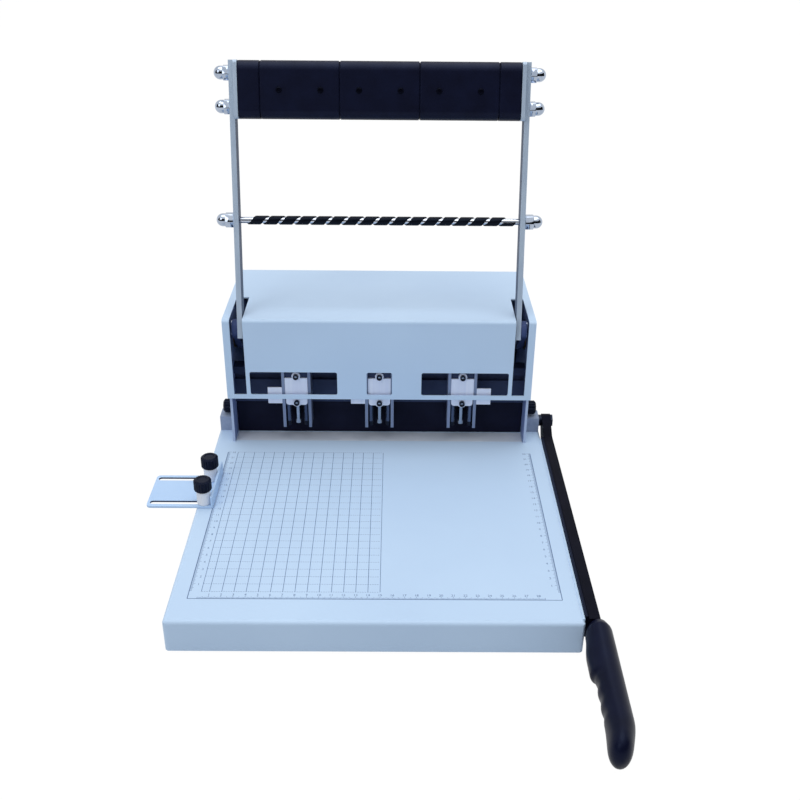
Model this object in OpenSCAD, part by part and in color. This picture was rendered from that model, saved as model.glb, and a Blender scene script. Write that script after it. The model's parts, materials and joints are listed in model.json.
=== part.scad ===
// Adjustable three hole paper punch with a side trimmer.
// Millimetres. +X to the right, +Y to the rear, +Z up.
// The origin is the centre of the flat underside of the base; the feet stand below it.

/* [Base] */
// Width of the base
base_w = 336; // [320:1:380]
// Depth of the base, front to rear
base_d = 450; // [430:1:520]
// Height of the base tray without its feet
base_h = 30; // [26:1:40]
// Sheet thickness of the base tray
base_wall = 1.5; // [1:0.1:2]
// Radius of the base tray's bent edges
base_bend = 3.5; // [2.5:0.5:5]
// Height of the rubber feet
foot_h = 5; // [4:0.5:8]
// Diameter of the rubber feet
foot_d = 24; // [18:1:30]

/* [Punch head] */
// Distance from the base's front edge to the hood's front face
head_setback = 277; // [265:1:285]
// Clear height from the base top to the hood's lower edge
head_gap = 51; // [50:0.5:58]
// Width of the hood
hood_w = 305; // [303:1:315]
// Depth of the hood
hood_d = 137; // [130:1:145]
// Height of the hood
hood_h = 86; // [84:1:96]
// Sheet thickness of the hood
hood_wall = 1.5; // [1:0.1:2]
// Radius of the hood's bent edges
hood_bend = 3; // [2.5:0.5:5]
// Width of the slots that the handle arms move in
slot_w = 12.7; // [12.3:0.1:13.2]
// Length of those slots on the hood's top
slot_run = 58; // [54:1:64]
// Height of the strip left below the slots and the windows
strip_h = 4.6; // [4:0.1:8]
// Height of the hood's windows
window_h = 25.4; // [22:0.2:26]
// Width of the two side windows
window_w = 87; // [80:1:90]
// Thickness of the side plates
plate_t = 2.5; // [2:0.1:4]

/* [Punch units] */
// Distance between neighbouring punch units at rest
unit_pitch = 83.5; // [76:0.5:88]
// Width of a punch unit
unit_w = 29; // [27:0.5:31]
// Thickness of a unit's cheeks
cheek_t = 3; // [2:0.1:3.4]
// Clear height below the units, where the paper goes
throat_h = 16.5; // [14:0.5:18]
// Diameter of the punch pins
pin_d = 6; // [5:0.1:6.5]
// Distance from the paper stop to the centre of the holes
edge_distance = 10; // [9:0.5:10.5]
// Diameter of the paper pressing posts
post_d = 5.4; // [3.6:0.1:6]

/* [Handle] */
// Backward lean of the handle at rest, in degrees
handle_lean = 13; // [8:0.5:18]
// Length of the handle arms above their cranks
arm_run = 250; // [235:1:270]
// Thickness of the handle arms
arm_t = 5; // [4:0.1:5.2]
// Depth of the handle arms
arm_depth = 16; // [14:0.5:18]
// Height of the handle grip
grip_h = 52; // [48:1:60]
// Depth of the handle grip
grip_depth = 28; // [24:1:34]
// Thickness of the plates at the ends of the grip
grip_plate_t = 3.6; // [3:0.1:5]
// Length of the grip's two end caps
grip_cap_l = 20; // [16:1:26]
// Distance of the spacer rod from the crank along the arm
rod_run = 105; // [95:1:125]
// Diameter of the spacer rod
rod_d = 6; // [5:0.1:7]
// Turns of the band wound on the spacer rod
wrap_turns = 16.5; // [12:0.5:18]
// Diameter of the drive shaft
shaft_d = 16; // [14:0.5:18]
// Angle that the handle is pulled through
handle_swing = 60; // [50:1:60]

/* [Side guide] */
// Distance from the base's front edge to the front guide knob
guide_setback = 163.7; // [120:0.1:180]
// Reach of the side guide's plate from its fence
guide_w = 62; // [56:1:70]
// Depth of the side guide's plate
guide_d = 53; // [50:1:60]
// Height of the side guide's fence
guide_fence_h = 12; // [8:1:16]
// Distance between the two guide knobs
knob_pitch = 40; // [36:1:42]
// Diameter of the guide knobs' caps
knob_cap_d = 16.5; // [14:0.5:18]

/* [Paper stop] */
// Height of the paper stop
stop_h = 36; // [30:1:40]
// Thickness of the paper stop
stop_t = 3; // [2:0.1:3.5]
// Diameter of the paper stop's knobs
stop_knob_d = 14.4; // [12:0.2:16]

/* [Trimmer] */
// Width of the trimmer bar with its blade
trim_w = 11; // [9:0.5:13]
// Height of the trimmer bar
trim_h = 24; // [20:1:26]
// Length of the trimmer's grip
trim_grip_l = 126; // [110:1:140]

/* [Hidden] */
$fn = 64;
// Clearances: sliding gap, running gap round a shaft, and a loose gap between covers
slide_gap = 0.2;
run_gap = 0.05;
cover_gap = 0.25;
// Overlap of a cut past the surface that it opens
cut = 1;

// Base
front_y = -base_d / 2;
top_z = base_h;
bottom_t = 1.2;
foot_inset = 32;
foot_screw_d = 4;
foot_head_d = 8.6;
foot_head_h = 2.2;
strip_w = 18;
strip_t = 8;

// Head
head_y = front_y + head_setback;
hood_z = top_z + head_gap;
hood_top = hood_z + hood_h;
hood_rear = head_y + hood_d;
plate_out = hood_w / 2 - hood_wall - cover_gap;
plate_in = plate_out - plate_t;
plate_top = hood_top - hood_wall - cover_gap;
plate_rear = hood_rear - hood_wall - cover_gap;
plate_front = head_y + hood_wall + cover_gap;
slot_margin = 0.8;
window_in = 42;
window_r = 2;
middle_window_w = 25.2;
bracket_min = 8;
bracket_edge = 1.25;
bracket_w = max(bracket_min, base_w / 2 - bracket_edge - plate_out);
bracket_d = 18;
bracket_h = 16;
bracket_back = 25;
bracket_y = head_y + bracket_back;
bracket_screw_inset = 4.2;
bracket_screw_rise = 3.6;
bracket_screw_deep = 3;
hood_screw_back = 38;
hood_screw_inset = 16;
hood_screw_rise = 16;
screw_d = 4;
screw_head_d = 6.5;
screw_head_h = 2.6;
beam_d = 20;
beam_h = 40;
beam_wall = 3;
beam_inset = 14;
beam_rise = 40;
beam_y = plate_rear - beam_d - beam_inset;
beam_z = top_z + beam_rise;

// Punch units
unit_y = head_y + hood_wall + 2;
unit_d = 18;
unit_rear = unit_y + unit_d;
unit_foot = top_z + throat_h;
unit_top = hood_z + strip_h + window_h + 1.2;
web_t = 3;
face_t = 2;
stop_y = unit_rear + 2;
pin_y = stop_y - edge_distance;
post_sink = 0.3;
post_rise = 1;
post_x = unit_w / 2 - cheek_t - post_d / 2 + post_sink;
post_y = unit_y + 5;
block_top = unit_top - 4;
tongue_h = 8;
tongue_w = unit_w - 2 * cheek_t - 1.4;
tongue_r = 3;
face_low = hood_z - 1;
face_top = face_low + 22.6;
low_screw_z = face_low - 4.7;
high_screw_z = face_top + 2;
block_z = low_screw_z - 4.3;
face_screw_d = 3;
face_screw_wall = 1.5;
face_screw_l = pin_y - pin_d / 2 - unit_y - face_t - face_screw_wall;
socket_head_d = 5.6;
socket_head_h = 3;
low_lug_d = socket_head_d + 4;
high_lug_d = socket_head_d + 3;
tab_w = 14.3;
tab_h = 18;

// Rail that the units slide on
rail_y = unit_rear + slide_gap;
rail_d = 14;
rail_rise = 25;
rail_clear = 0.6;
rail_top = hood_z + rail_rise;
rail_z = top_z + stop_h + rail_clear;
key_rise = 14;
key_h = 6;
key_z = hood_z + key_rise - key_h / 2;
key_d = 4;

// Pressure bar, its guides and the drive shaft
pin_rise = 0.8;
pin_rest = 0.3;
travel = throat_h + pin_rise - pin_rest;
crank_throw = travel / (2 * sin(handle_swing / 2));
bar_z = unit_top + travel + 1;
bar_h = 18;
bar_y = unit_y + 2;
bar_inset = 20.5;
bar_half = hood_w / 2 - bar_inset;
bar_rear = unit_rear;
head_d = 11;
head_h = 4;
head_gap_y = 0.4;
head_gap_z = 0.3;
groove_z = bar_z + 3.6;
guide_post_x = 28;
guide_post_d = 8;
post_sunk = 6;
post_over = 8;
guide_post_y = rail_y + 6;
spring_play = 0.5;
spring_wire = 1.5;
boss_w = 18;
boss_h = 10;
shaft_y = guide_post_y + guide_post_d / 2 + 6 + shaft_d / 2;
fork_pin_d = 8;
fork_gap = 0.4;
fork_lip = 0.5;
fork_room = 0.6;
shaft_z = bar_z + bar_h / 2 - crank_throw * sin(handle_swing / 2);
fork_inset = 15;
fork_x = bar_half - fork_inset;
fork_t = 8;
crank_pin = [shaft_y - crank_throw * cos(handle_swing / 2), bar_z + bar_h / 2];
drive_crank_t = 6;
bush_wall = 3;
bush_flange = 1.2;
bush_lip = 2;

// Handle
arm_inset = 19.7;
slot_in = hood_w / 2 - arm_inset;
arm_in = slot_in + slot_margin;
arm_out = arm_in + arm_t;
crank_in = arm_out + slide_gap;
crank_t = 5.5;
crank_root_r = 13;
crank_hub_t = plate_in - bush_flange - slide_gap - crank_in - crank_t;
crank_hub_wall = 3;
crank_end_r = 8.5;
crank_end_back = 13;
crank_end_drop = 14;
crank_end = [head_y + crank_end_back, hood_top - crank_end_drop];
grip_half = arm_in - grip_plate_t;
grip_low = arm_run - grip_h;
grip_r = 9;
groove = 0.3;
segment_l = (2 * grip_half - 2 * grip_cap_l - 4 * groove) / 3;
grip_rod_d = 8;
grip_rod_inset = 11;
nut_af = 13;
nut_h = 6;
dome_d = nut_af - 0.6;
dome_h = 8.4;
rod_nut_more = 2.6;
grip_screw_d = 4;
grip_screw_h = 1.2;
grip_screw_pitch = 38;
arm_bolt_pitch = 9;
arm_bolt_d = 4;
arm_bolt_head_d = 7;
arm_bolt_head_h = slot_in + slot_w - 2 * slide_gap - crank_in - crank_t;
arm_tail = 9;
wrap_wall = 1.2;
wrap_cover = 0.78;
wrap_inset = 3.5;

// Side guide
knob_inset = 7;
knob_x = -base_w / 2 + knob_inset;
knob_y = front_y + guide_setback;
guide_t = 2;
guide_r = 4;
guide_tail = 10;
guide_slot_end = 2.5;
guide_reach = 16;
guide_right = -base_w / 2 + guide_reach;
guide_slot_inset = 6.7;
guide_front = knob_y - guide_slot_inset;
stud_d = 5;
sleeve_d = 13;
sleeve_h = 13.5;
knob_cap_h = 12;
guide_z = top_z + slide_gap;
sleeve_z = guide_z + guide_t + slide_gap;

// Paper stop
stop_half = plate_in - 0.6;
stop_tab_d = 34;
stop_tab_h = 13;
stop_stud_d = 6;
stop_travel = 12;
stop_stud = [bracket_y + bracket_d / 2, top_z + bracket_h + stop_knob_d / 2 + 1.3];
stop_knob_l = 12;

// Trimmer
trim_gap = 0.4;
trim_in = max(base_w / 2, plate_out + bracket_w) + trim_gap;
trim_out = trim_in + trim_w;
trim_blade_t = 2.1;
trim_rise = 3;
trim_top = top_z + trim_rise;
trim_pivot_d = 6.5;
trim_pivot_rise = 9;
trim_pivot_at = [bracket_y + bracket_d / 2, top_z + trim_pivot_rise];
trim_pivot_wall = 5;
trim_pivot_sunk = bracket_w - trim_pivot_wall;
trim_pivot_head_h = 2.2;
trim_pivot_head_af = 12;
trim_shoulder_d = 12;
trim_ear_r = 7;
trim_inset = 2.5;
trim_front = front_y + trim_inset;
trim_crank_l = 12;
trim_blade_end = bracket_y - trim_crank_l - 2;
lower_blade_t = 2;
lower_blade_h = 12;
grip_rings = 26;
grip_sides = 24;
trim_grip_w = 21.6;
trim_grip_h = 29;
grip_taper = 2;
grip_waist = 3.2;
grip_bow = 3.9;
grip_droop = 9;
grip_curve = 1.4;
grip_lift = 1;
grip_gap = 0.3;
// Shares of the grip's length: its collar, the guard before the fingers, the fingers and the round nose
grip_collar = 0.05;
grip_collar_part = 0.78;
guard_full = 0.26;
guard_end = 0.37;
finger_from = 0.41;
finger_to = 0.74;
grip_nose = 0.88;
fingers = 3;
finger_side = 195;
// Shares of the grip's width that the fingers press in and the guard stands out
finger_dent = 0.08;
guard_part = 0.28;
tang_l = 40;
tang_w = 6;
tang_h = 12;

// Shared shapes
// Rectangle with round corners, centred
module rounded(w, h, r) {
    square([w - 2 * r, h], center = true);
    square([w, h - 2 * r], center = true);
    for (i = [-1, 1], j = [-1, 1]) translate([i * (w / 2 - r), j * (h / 2 - r)]) circle(r);
}
// Outline of a bent sheet: flat below, round at its two upper corners
module bent(w, h, r) {
    translate([-w / 2, 0]) square([w, h - r]);
    translate([-w / 2 + r, 0]) square([w - 2 * r, h]);
    for (i = [-1, 1]) translate([i * (w / 2 - r), h - r]) circle(r);
}
// Two discs joined by a bar whose edges lie a hair inside their outer tangents
module link(p, r, q, s) {
    hair = 0.02;
    d = norm(q - p);
    turn = atan2(q[1] - p[1], q[0] - p[0]);
    a = acos((r - s) / d);
    up = [cos(turn + a), sin(turn + a)];
    down = [cos(turn - a), sin(turn - a)];
    translate(p) circle(r);
    translate(q) circle(s);
    polygon([p + (r - hair) * up, q + (s - hair) * up, q + (s - hair) * down, p + (r - hair) * down]);
}
// An outline drawn in Y and Z, run along X
module along_x(x, l) translate([x, 0, 0]) rotate([90, 0, 90]) linear_extrude(l) children();
// An outline drawn in X and Z, run along Y
module along_y(y, l) translate([0, y + l, 0]) rotate([90, 0, 0]) linear_extrude(l) children();
// A disc at a point given in Y and Z, run along X
module bar_x(p, x, l, d) translate([x, p[0], p[1]]) rotate([0, 90, 0]) cylinder(h = l, d = d);
// A straight slot with round ends, run along Z
module slot_z(a, b, w, z, l) {
    for (p = [a, b]) translate([p[0], p[1], z]) cylinder(h = l, d = w);
    translate([min(a[0], b[0]), a[1] - w / 2, z]) cube([abs(b[0] - a[0]), w, l]);
}
// The piece and its mirror image on the other side
module both() {
    children();
    mirror([1, 0, 0]) children();
}
// A box given by its lowest and highest corners
module box(a, b) translate(a) cube(b - a);
// An outline drawn on the leaning handle, with its height counted from the crank
module leaning() translate(crank_end) rotate(-handle_lean) children();
function on_handle(s) = crank_end + s * [sin(handle_lean), cos(handle_lean)];

// Base
module base_skin(inset, low) {
    w = base_w - 2 * inset;
    d = base_d - 2 * inset;
    r = base_bend - inset;
    intersection() {
        translate([0, 0, low]) along_x(-w / 2, w) bent(d, base_h - inset - low, r);
        translate([0, 0, low]) along_y(-d / 2, d) bent(w, base_h - inset - low, r);
        translate([0, 0, low]) linear_extrude(base_h) rounded(w, d, r);
    }
}
foot_spots = [for (i = [-1, 1], j = [-1, 1]) [i * (base_w / 2 - foot_inset), j * (base_d / 2 - foot_inset)]];
knob_spots = [[knob_x, knob_y], [knob_x, knob_y + knob_pitch]];
bracket_x = plate_out + bracket_w / 2;
bracket_mid = [bracket_x, bracket_y + bracket_d / 2];
module base_tray() color("gainsboro") difference() {
    base_skin(0, 0);
    base_skin(base_wall, -cut);
    box([-stop_half - slide_gap, pin_y - strip_w / 2 - slide_gap, top_z - strip_t],
        [stop_half + slide_gap, pin_y + strip_w / 2 + slide_gap, top_z + cut]);
    for (p = knob_spots) translate([p[0], p[1], 0]) cylinder(h = top_z + cut, d = stud_d);
    both() translate([bracket_mid[0], bracket_mid[1], top_z / 2]) cylinder(h = top_z, d = screw_d);
    box([base_w / 2 - lower_blade_t, front_y + base_bend + 2, top_z - lower_blade_h],
        [base_w / 2 + cut, trim_blade_end, top_z + cut]);
}
module base_bottom() color("silver") difference() {
    linear_extrude(bottom_t)
        rounded(base_w - 2 * base_wall - 2 * slide_gap, base_d - 2 * base_wall - 2 * slide_gap, base_bend);
    for (p = foot_spots) translate([p[0], p[1], -cut]) cylinder(h = bottom_t + 2 * cut, d = foot_screw_d);
}
module feet() color("dimgray") for (p = foot_spots) translate([p[0], p[1], -foot_h]) difference() {
    cylinder(h = foot_h, d = foot_d);
    translate([0, 0, -cut]) cylinder(h = foot_h + 2 * cut, d = foot_screw_d);
    translate([0, 0, -cut]) cylinder(h = cut + foot_h / 2, d = foot_head_d + 2 * slide_gap);
}
module foot_screws() color("silver") for (p = foot_spots) translate([p[0], p[1], -foot_h / 2]) {
    translate([0, 0, -foot_head_h]) cylinder(h = foot_head_h, d = foot_head_d);
    cylinder(h = foot_h / 2 + bottom_t + 4, d = foot_screw_d);
}
module cutting_strip() color("ivory")
    box([-stop_half, pin_y - strip_w / 2, top_z - strip_t], [stop_half, pin_y + strip_w / 2, top_z]);
module lower_blade() color("silver")
    box([base_w / 2 - lower_blade_t, front_y + base_bend + 2, top_z - lower_blade_h],
        [base_w / 2, trim_blade_end, top_z]);

// Head frame
hood_screw_spots = [
    for (y = [head_y + hood_screw_back, plate_rear - hood_screw_inset]) [y, hood_z + hood_screw_rise]
];
bracket_screw_spots = [
    for (i = [bracket_screw_inset, bracket_d - bracket_screw_inset])
        [bracket_y + i, top_z + bracket_screw_rise]
];
bush_d = shaft_d + 2 * bush_wall;
module side_plate() color("lightsteelblue") difference() {
    box([plate_in, plate_front, top_z], [plate_out, plate_rear, plate_top]);
    bar_x([shaft_y, shaft_z], plate_in - cut, plate_t + 2 * cut, bush_d);
    for (p = concat(hood_screw_spots, bracket_screw_spots))
        bar_x(p, plate_in - cut, plate_t + 2 * cut, screw_d);
    for (i = [0, stop_travel])
        bar_x(stop_stud + [i, 0], plate_in - cut, plate_t + 2 * cut, stop_stud_d + 2 * slide_gap);
    box([plate_in - cut, stop_stud[0], stop_stud[1] - stop_stud_d / 2 - slide_gap],
        [plate_out + cut, stop_stud[0] + stop_travel, stop_stud[1] + stop_stud_d / 2 + slide_gap]);
}
module side_plate_right() side_plate();
module side_plate_left() mirror([1, 0, 0]) side_plate();
module bracket() difference() {
    box([plate_out, bracket_y, top_z], [plate_out + bracket_w, bracket_y + bracket_d, top_z + bracket_h]);
    for (p = bracket_screw_spots) {
        bar_x(p, plate_out - cut, bracket_w + 2 * cut, screw_d);
        bar_x(p, plate_out + bracket_w - screw_head_h, screw_head_h + cut, screw_head_d);
    }
    translate([bracket_mid[0], bracket_mid[1], top_z - cut])
        cylinder(h = cut + bracket_screw_deep, d = screw_d);
    bar_x(trim_pivot_at, plate_out + bracket_w - trim_pivot_sunk, trim_pivot_sunk + cut, trim_pivot_d);
}
module head_brackets() color("lightgray") both() bracket();
module frame_screws() color("silver") both() {
    for (p = hood_screw_spots) {
        bar_x(p, hood_w / 2, screw_head_h, screw_head_d);
        bar_x(p, plate_in, hood_w / 2 - plate_in, screw_d);
    }
    for (p = bracket_screw_spots) {
        bar_x(p, plate_out + bracket_w - screw_head_h, screw_head_h, screw_head_d);
        bar_x(p, plate_in, plate_t + bracket_w - screw_head_h, screw_d);
    }
    translate([bracket_mid[0], bracket_mid[1], top_z - base_wall - screw_head_h]) {
        cylinder(h = screw_head_h, d = screw_head_d);
        cylinder(h = screw_head_h + base_wall + bracket_screw_deep, d = screw_d);
    }
}
module hood() color("white") {
    mid = (head_y + hood_rear) / 2;
    window_mid = window_in + window_w / 2;
    difference() {
        translate([0, mid, hood_z]) along_x(-hood_w / 2, hood_w) bent(hood_d, hood_h, hood_bend);
        translate([0, mid, hood_z - cut]) along_x(-hood_w / 2 + hood_wall, hood_w - 2 * hood_wall)
            bent(hood_d - 2 * hood_wall, hood_h - hood_wall + cut, hood_bend - hood_wall);
        both() {
            box([slot_in, head_y - cut, hood_z + strip_h],
                [slot_in + slot_w, head_y + slot_run, hood_top + cut]);
            translate([window_mid, 0, hood_z + strip_h + window_h / 2])
                along_y(head_y - cut, hood_wall + 2 * cut) rounded(window_w, window_h, window_r);
            for (p = hood_screw_spots) bar_x(p, hood_w / 2 - hood_wall - cut, hood_wall + 2 * cut, screw_d);
        }
        translate([0, 0, hood_z + strip_h + window_h / 2])
            along_y(head_y - cut, hood_wall + 2 * cut) rounded(middle_window_w, window_h, window_r);
    }
}
module rear_beam() color("dimgray") difference() {
    box([-plate_in, beam_y, beam_z], [plate_in, beam_y + beam_d, beam_z + beam_h]);
    box([-plate_in - cut, beam_y + beam_wall, beam_z + beam_wall],
        [plate_in + cut, beam_y + beam_d - beam_wall, beam_z + beam_h - beam_wall]);
}
module unit_rail() color("dimgray") difference() {
    box([-plate_in, rail_y, rail_z], [plate_in, rail_y + rail_d, rail_top]);
    box([-plate_in - cut, rail_y - cut, key_z], [plate_in + cut, rail_y + key_d + slide_gap, key_z + key_h]);
    both() translate([guide_post_x, guide_post_y, rail_top - post_sunk])
        cylinder(h = post_sunk + cut, d = guide_post_d);
}
module shaft_bushes() color("goldenrod") both() difference() {
    union() {
        bar_x([shaft_y, shaft_z], plate_in, plate_t, bush_d);
        bar_x([shaft_y, shaft_z], plate_in - bush_flange, bush_flange, bush_d + 2 * bush_lip);
    }
    bar_x([shaft_y, shaft_z], plate_in - bush_flange - cut, plate_t + bush_flange + 2 * cut,
        shaft_d + 2 * run_gap);
}

// Pressure bar and its guides
module guide_posts() color("silver") both()
    translate([guide_post_x, guide_post_y, rail_top - post_sunk])
        cylinder(h = post_sunk + bar_z + bar_h + post_over - rail_top, d = guide_post_d);
module return_springs() color("gray") both() translate([guide_post_x, guide_post_y, rail_top]) difference() {
    cylinder(h = bar_z + bar_h - boss_h - rail_top, d = guide_post_d + 2 * spring_play + 2 * spring_wire);
    translate([0, 0, -cut])
        cylinder(h = bar_h + bar_z - rail_top + 2 * cut, d = guide_post_d + 2 * spring_play);
}
module pressure_bar() color("slategray") difference() {
    fork_end = crank_pin[0] + fork_pin_d / 2 + fork_lip;
    fork_low = crank_pin[1] - fork_pin_d / 2 - fork_gap;
    union() {
        box([-bar_half, bar_y, bar_z], [bar_half, bar_rear, bar_z + bar_h]);
        both() {
            box([guide_post_x - boss_w / 2, bar_rear - cut, bar_z + bar_h - boss_h],
                [guide_post_x + boss_w / 2, guide_post_y + guide_post_d / 2 + 4, bar_z + bar_h]);
            box([fork_x, bar_rear - cut, bar_z], [fork_x + fork_t, fork_end, bar_z + bar_h]);
        }
    }
    box([-bar_half - cut, pin_y - pin_d / 2 - head_gap_y, bar_z - cut],
        [bar_half + cut, pin_y + pin_d / 2 + head_gap_y, groove_z + cut]);
    box([-bar_half - cut, pin_y - head_d / 2 - head_gap_y, groove_z],
        [bar_half + cut, pin_y + head_d / 2 + head_gap_y, groove_z + head_h + 2 * head_gap_z]);
    both() {
        translate([guide_post_x, guide_post_y, bar_z - cut])
            cylinder(h = bar_h + 2 * cut, d = guide_post_d + 2 * run_gap);
        box([fork_x - cut, shaft_y - crank_throw - fork_pin_d / 2 - fork_room, fork_low],
            [fork_x + fork_t + cut, fork_end + cut, fork_low + fork_pin_d + 2 * fork_gap]);
    }
}

// Punch units
unit_in = unit_w / 2 - cheek_t;
module punch_frame() color("slategray") difference() {
    union() {
        for (i = [-1, 1])
            box([i * unit_w / 2 - (i > 0 ? cheek_t : 0), unit_y, unit_foot],
                [i * unit_w / 2 + (i > 0 ? 0 : cheek_t), unit_rear, unit_top]);
        box([-unit_w / 2, unit_rear - web_t, block_z], [unit_w / 2, unit_rear, unit_top]);
        box([-unit_in - cut, unit_y + face_t, block_z], [unit_in + cut, unit_rear - cut, block_top]);
        box([-unit_w / 2, unit_rear - cut, key_z + slide_gap],
            [unit_w / 2, unit_rear + key_d, key_z + key_h - slide_gap]);
        for (i = [-1, 1]) translate([i * post_x, post_y, unit_foot + post_rise])
            cylinder(h = block_z - unit_foot, d = post_d);
    }
    translate([0, pin_y, block_z - cut]) cylinder(h = unit_top, d = pin_d + 2 * run_gap);
    for (z = [low_screw_z, high_screw_z])
        translate([0, unit_y + face_t - cut, z]) rotate([-90, 0, 0])
            cylinder(h = face_screw_l + cut, d = face_screw_d);
}
module face_plate(tab_side) color("lightgray") {
    along_y(unit_y, face_t) difference() {
        union() {
            translate([-unit_in + 0.1, face_low]) square([2 * unit_in - 0.2, face_top - face_low]);
            translate([-tongue_w / 2, low_screw_z]) square([tongue_w, tongue_h]);
            translate([0, low_screw_z]) circle(d = low_lug_d);
            translate([-tongue_w / 2 + tongue_r, low_screw_z - tongue_r])
                square([tongue_w - 2 * tongue_r, tongue_r + 1]);
            for (i = [-1, 1]) translate([i * (tongue_w / 2 - tongue_r), low_screw_z]) circle(tongue_r);
            translate([0, high_screw_z]) circle(d = high_lug_d);
        }
        for (z = [low_screw_z, high_screw_z]) translate([0, z]) circle(d = face_screw_d);
    }
    box([tab_side > 0 ? unit_w / 2 : -unit_w / 2 - tab_w, unit_y, face_low - 6],
        [tab_side > 0 ? unit_w / 2 + tab_w : -unit_w / 2, unit_y + 1.5, face_low - 6 + tab_h]);
}
module face_screws() color("silver") for (z = [low_screw_z, high_screw_z])
    translate([0, unit_y, z]) rotate([-90, 0, 0]) difference() {
        union() {
            translate([0, 0, -socket_head_h]) cylinder(h = socket_head_h, d = socket_head_d);
            cylinder(h = face_t + face_screw_l, d = face_screw_d);
        }
        translate([0, 0, -socket_head_h - cut]) cylinder(h = cut + 1.6, d = 3, $fn = 6);
    }
module punch_pin() color("silver") difference() {
    union() {
        translate([0, pin_y, unit_foot + pin_rise])
            cylinder(h = groove_z + head_gap_z - unit_foot - pin_rise, d = pin_d);
        translate([0, pin_y, groove_z + head_gap_z]) cylinder(h = head_h, d = head_d);
    }
    translate([0, pin_y, unit_foot + pin_rise - cut]) cylinder(h = cut + 8, d = pin_d - 1.6);
}
module punch_frame_left() translate([-unit_pitch, 0, 0]) punch_frame();
module punch_frame_middle() punch_frame();
module punch_frame_right() translate([unit_pitch, 0, 0]) punch_frame();
module face_plate_left() translate([-unit_pitch, 0, 0]) face_plate(-1);
module face_plate_middle() face_plate(-1);
module face_plate_right() translate([unit_pitch, 0, 0]) face_plate(1);
module face_screws_left() translate([-unit_pitch, 0, 0]) face_screws();
module face_screws_middle() face_screws();
module face_screws_right() translate([unit_pitch, 0, 0]) face_screws();
module punch_pin_left() translate([-unit_pitch, 0, 0]) punch_pin();
module punch_pin_middle() punch_pin();
module punch_pin_right() translate([unit_pitch, 0, 0]) punch_pin();

// Drive
shaft_at = [shaft_y, shaft_z];
crank_out = crank_in + crank_t;
arm_bolt_spots = [for (i = [-1, 1]) on_handle(i * arm_bolt_pitch / 2)];
module drive_shaft() color("silver")
    bar_x(shaft_at, -plate_out + cover_gap, 2 * plate_out - 2 * cover_gap, shaft_d);
module drive_cranks() color("dimgray") both() difference() {
    union() {
        along_x(fork_x - 2 - drive_crank_t, drive_crank_t)
            link(shaft_at, shaft_d / 2 + 5, crank_pin, fork_pin_d / 2 + 2.5);
        bar_x(crank_pin, fork_x - 2 - drive_crank_t, drive_crank_t + fork_t + 3, fork_pin_d);
    }
    bar_x(shaft_at, fork_x - 2 - drive_crank_t - cut, drive_crank_t + 2 * cut, shaft_d);
}
module crank_arm() color("dimgray") difference() {
    union() {
        along_x(crank_in, crank_t) link(shaft_at, crank_root_r, crank_end, crank_end_r);
        bar_x(shaft_at, crank_in, crank_t + crank_hub_t, shaft_d + 2 * crank_hub_wall);
    }
    bar_x(shaft_at, crank_in - cut, crank_t + crank_hub_t + 2 * cut, shaft_d);
    for (p = arm_bolt_spots) bar_x(p, crank_in - cut, crank_t + 2 * cut, arm_bolt_d);
}
module crank_arm_right() crank_arm();
module crank_arm_left() mirror([1, 0, 0]) crank_arm();
module crank_bolts() color("silver") both() for (p = arm_bolt_spots) {
    bar_x(p, arm_in, crank_out - arm_in, arm_bolt_d);
    bar_x(p, crank_out, arm_bolt_head_h, arm_bolt_head_d);
}

// Handle
grip_mid = arm_run - grip_h / 2;
grip_rod_runs = [grip_low + grip_rod_inset, arm_run - grip_rod_inset];
module handle_arm() color("lightgray") difference() {
    along_x(arm_in, arm_t) leaning() translate([-arm_depth / 2, -arm_tail])
        square([arm_depth, arm_run + arm_tail]);
    for (p = arm_bolt_spots) bar_x(p, arm_in - cut, arm_t + 2 * cut, arm_bolt_d);
    for (s = grip_rod_runs) bar_x(on_handle(s), arm_in - cut, arm_t + 2 * cut, grip_rod_d);
    bar_x(on_handle(rod_run), arm_in - cut, arm_t + 2 * cut, rod_d);
}
module handle_arm_right() handle_arm();
module handle_arm_left() mirror([1, 0, 0]) handle_arm();
// A length of the grip's section, bored for its two rods
module grip_piece(x, l, r) difference() {
    along_x(x, l) leaning() translate([0, grip_mid]) rounded(grip_depth, grip_h, r);
    for (s = grip_rod_runs) bar_x(on_handle(s), x - cut, l + 2 * cut, grip_rod_d);
}
grip_starts = [for (i = [0:2]) -grip_half + grip_cap_l + groove + i * (segment_l + groove)];
module grip_plates() color("lightgray") both() grip_piece(grip_half, grip_plate_t, 3);
module grip_caps() color("black") both() grip_piece(grip_half - grip_cap_l, grip_cap_l, grip_r);
// Each main length has two shallow seats for its screws
module grip_segment(i) color("black") difference() {
    grip_piece(grip_starts[i], segment_l, grip_r);
    for (j = [-1, 1]) grip_screw_at(i, j) cylinder(h = 2 * grip_screw_h, d = grip_screw_d + slide_gap);
}
module grip_screw_at(i, j) {
    p = on_handle(grip_mid);
    translate([grip_starts[i] + segment_l / 2 + j * grip_screw_pitch / 2, p[0], p[1]])
        rotate([90 - handle_lean, 0, 0]) translate([0, 0, grip_depth / 2 - grip_screw_h]) children();
}
module grip_left() grip_segment(0);
module grip_middle() grip_segment(1);
module grip_right() grip_segment(2);
module grip_screws() color("black") for (i = [0:2], j = [-1, 1]) grip_screw_at(i, j)
    cylinder(h = 0.7 * grip_screw_h, d = grip_screw_d);
module grip_rods() color("silver")
    for (s = grip_rod_runs) bar_x(on_handle(s), -arm_out, 2 * arm_out, grip_rod_d);
module spacer_rod() color("silver") bar_x(on_handle(rod_run), -arm_out, 2 * arm_out, rod_d);
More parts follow.
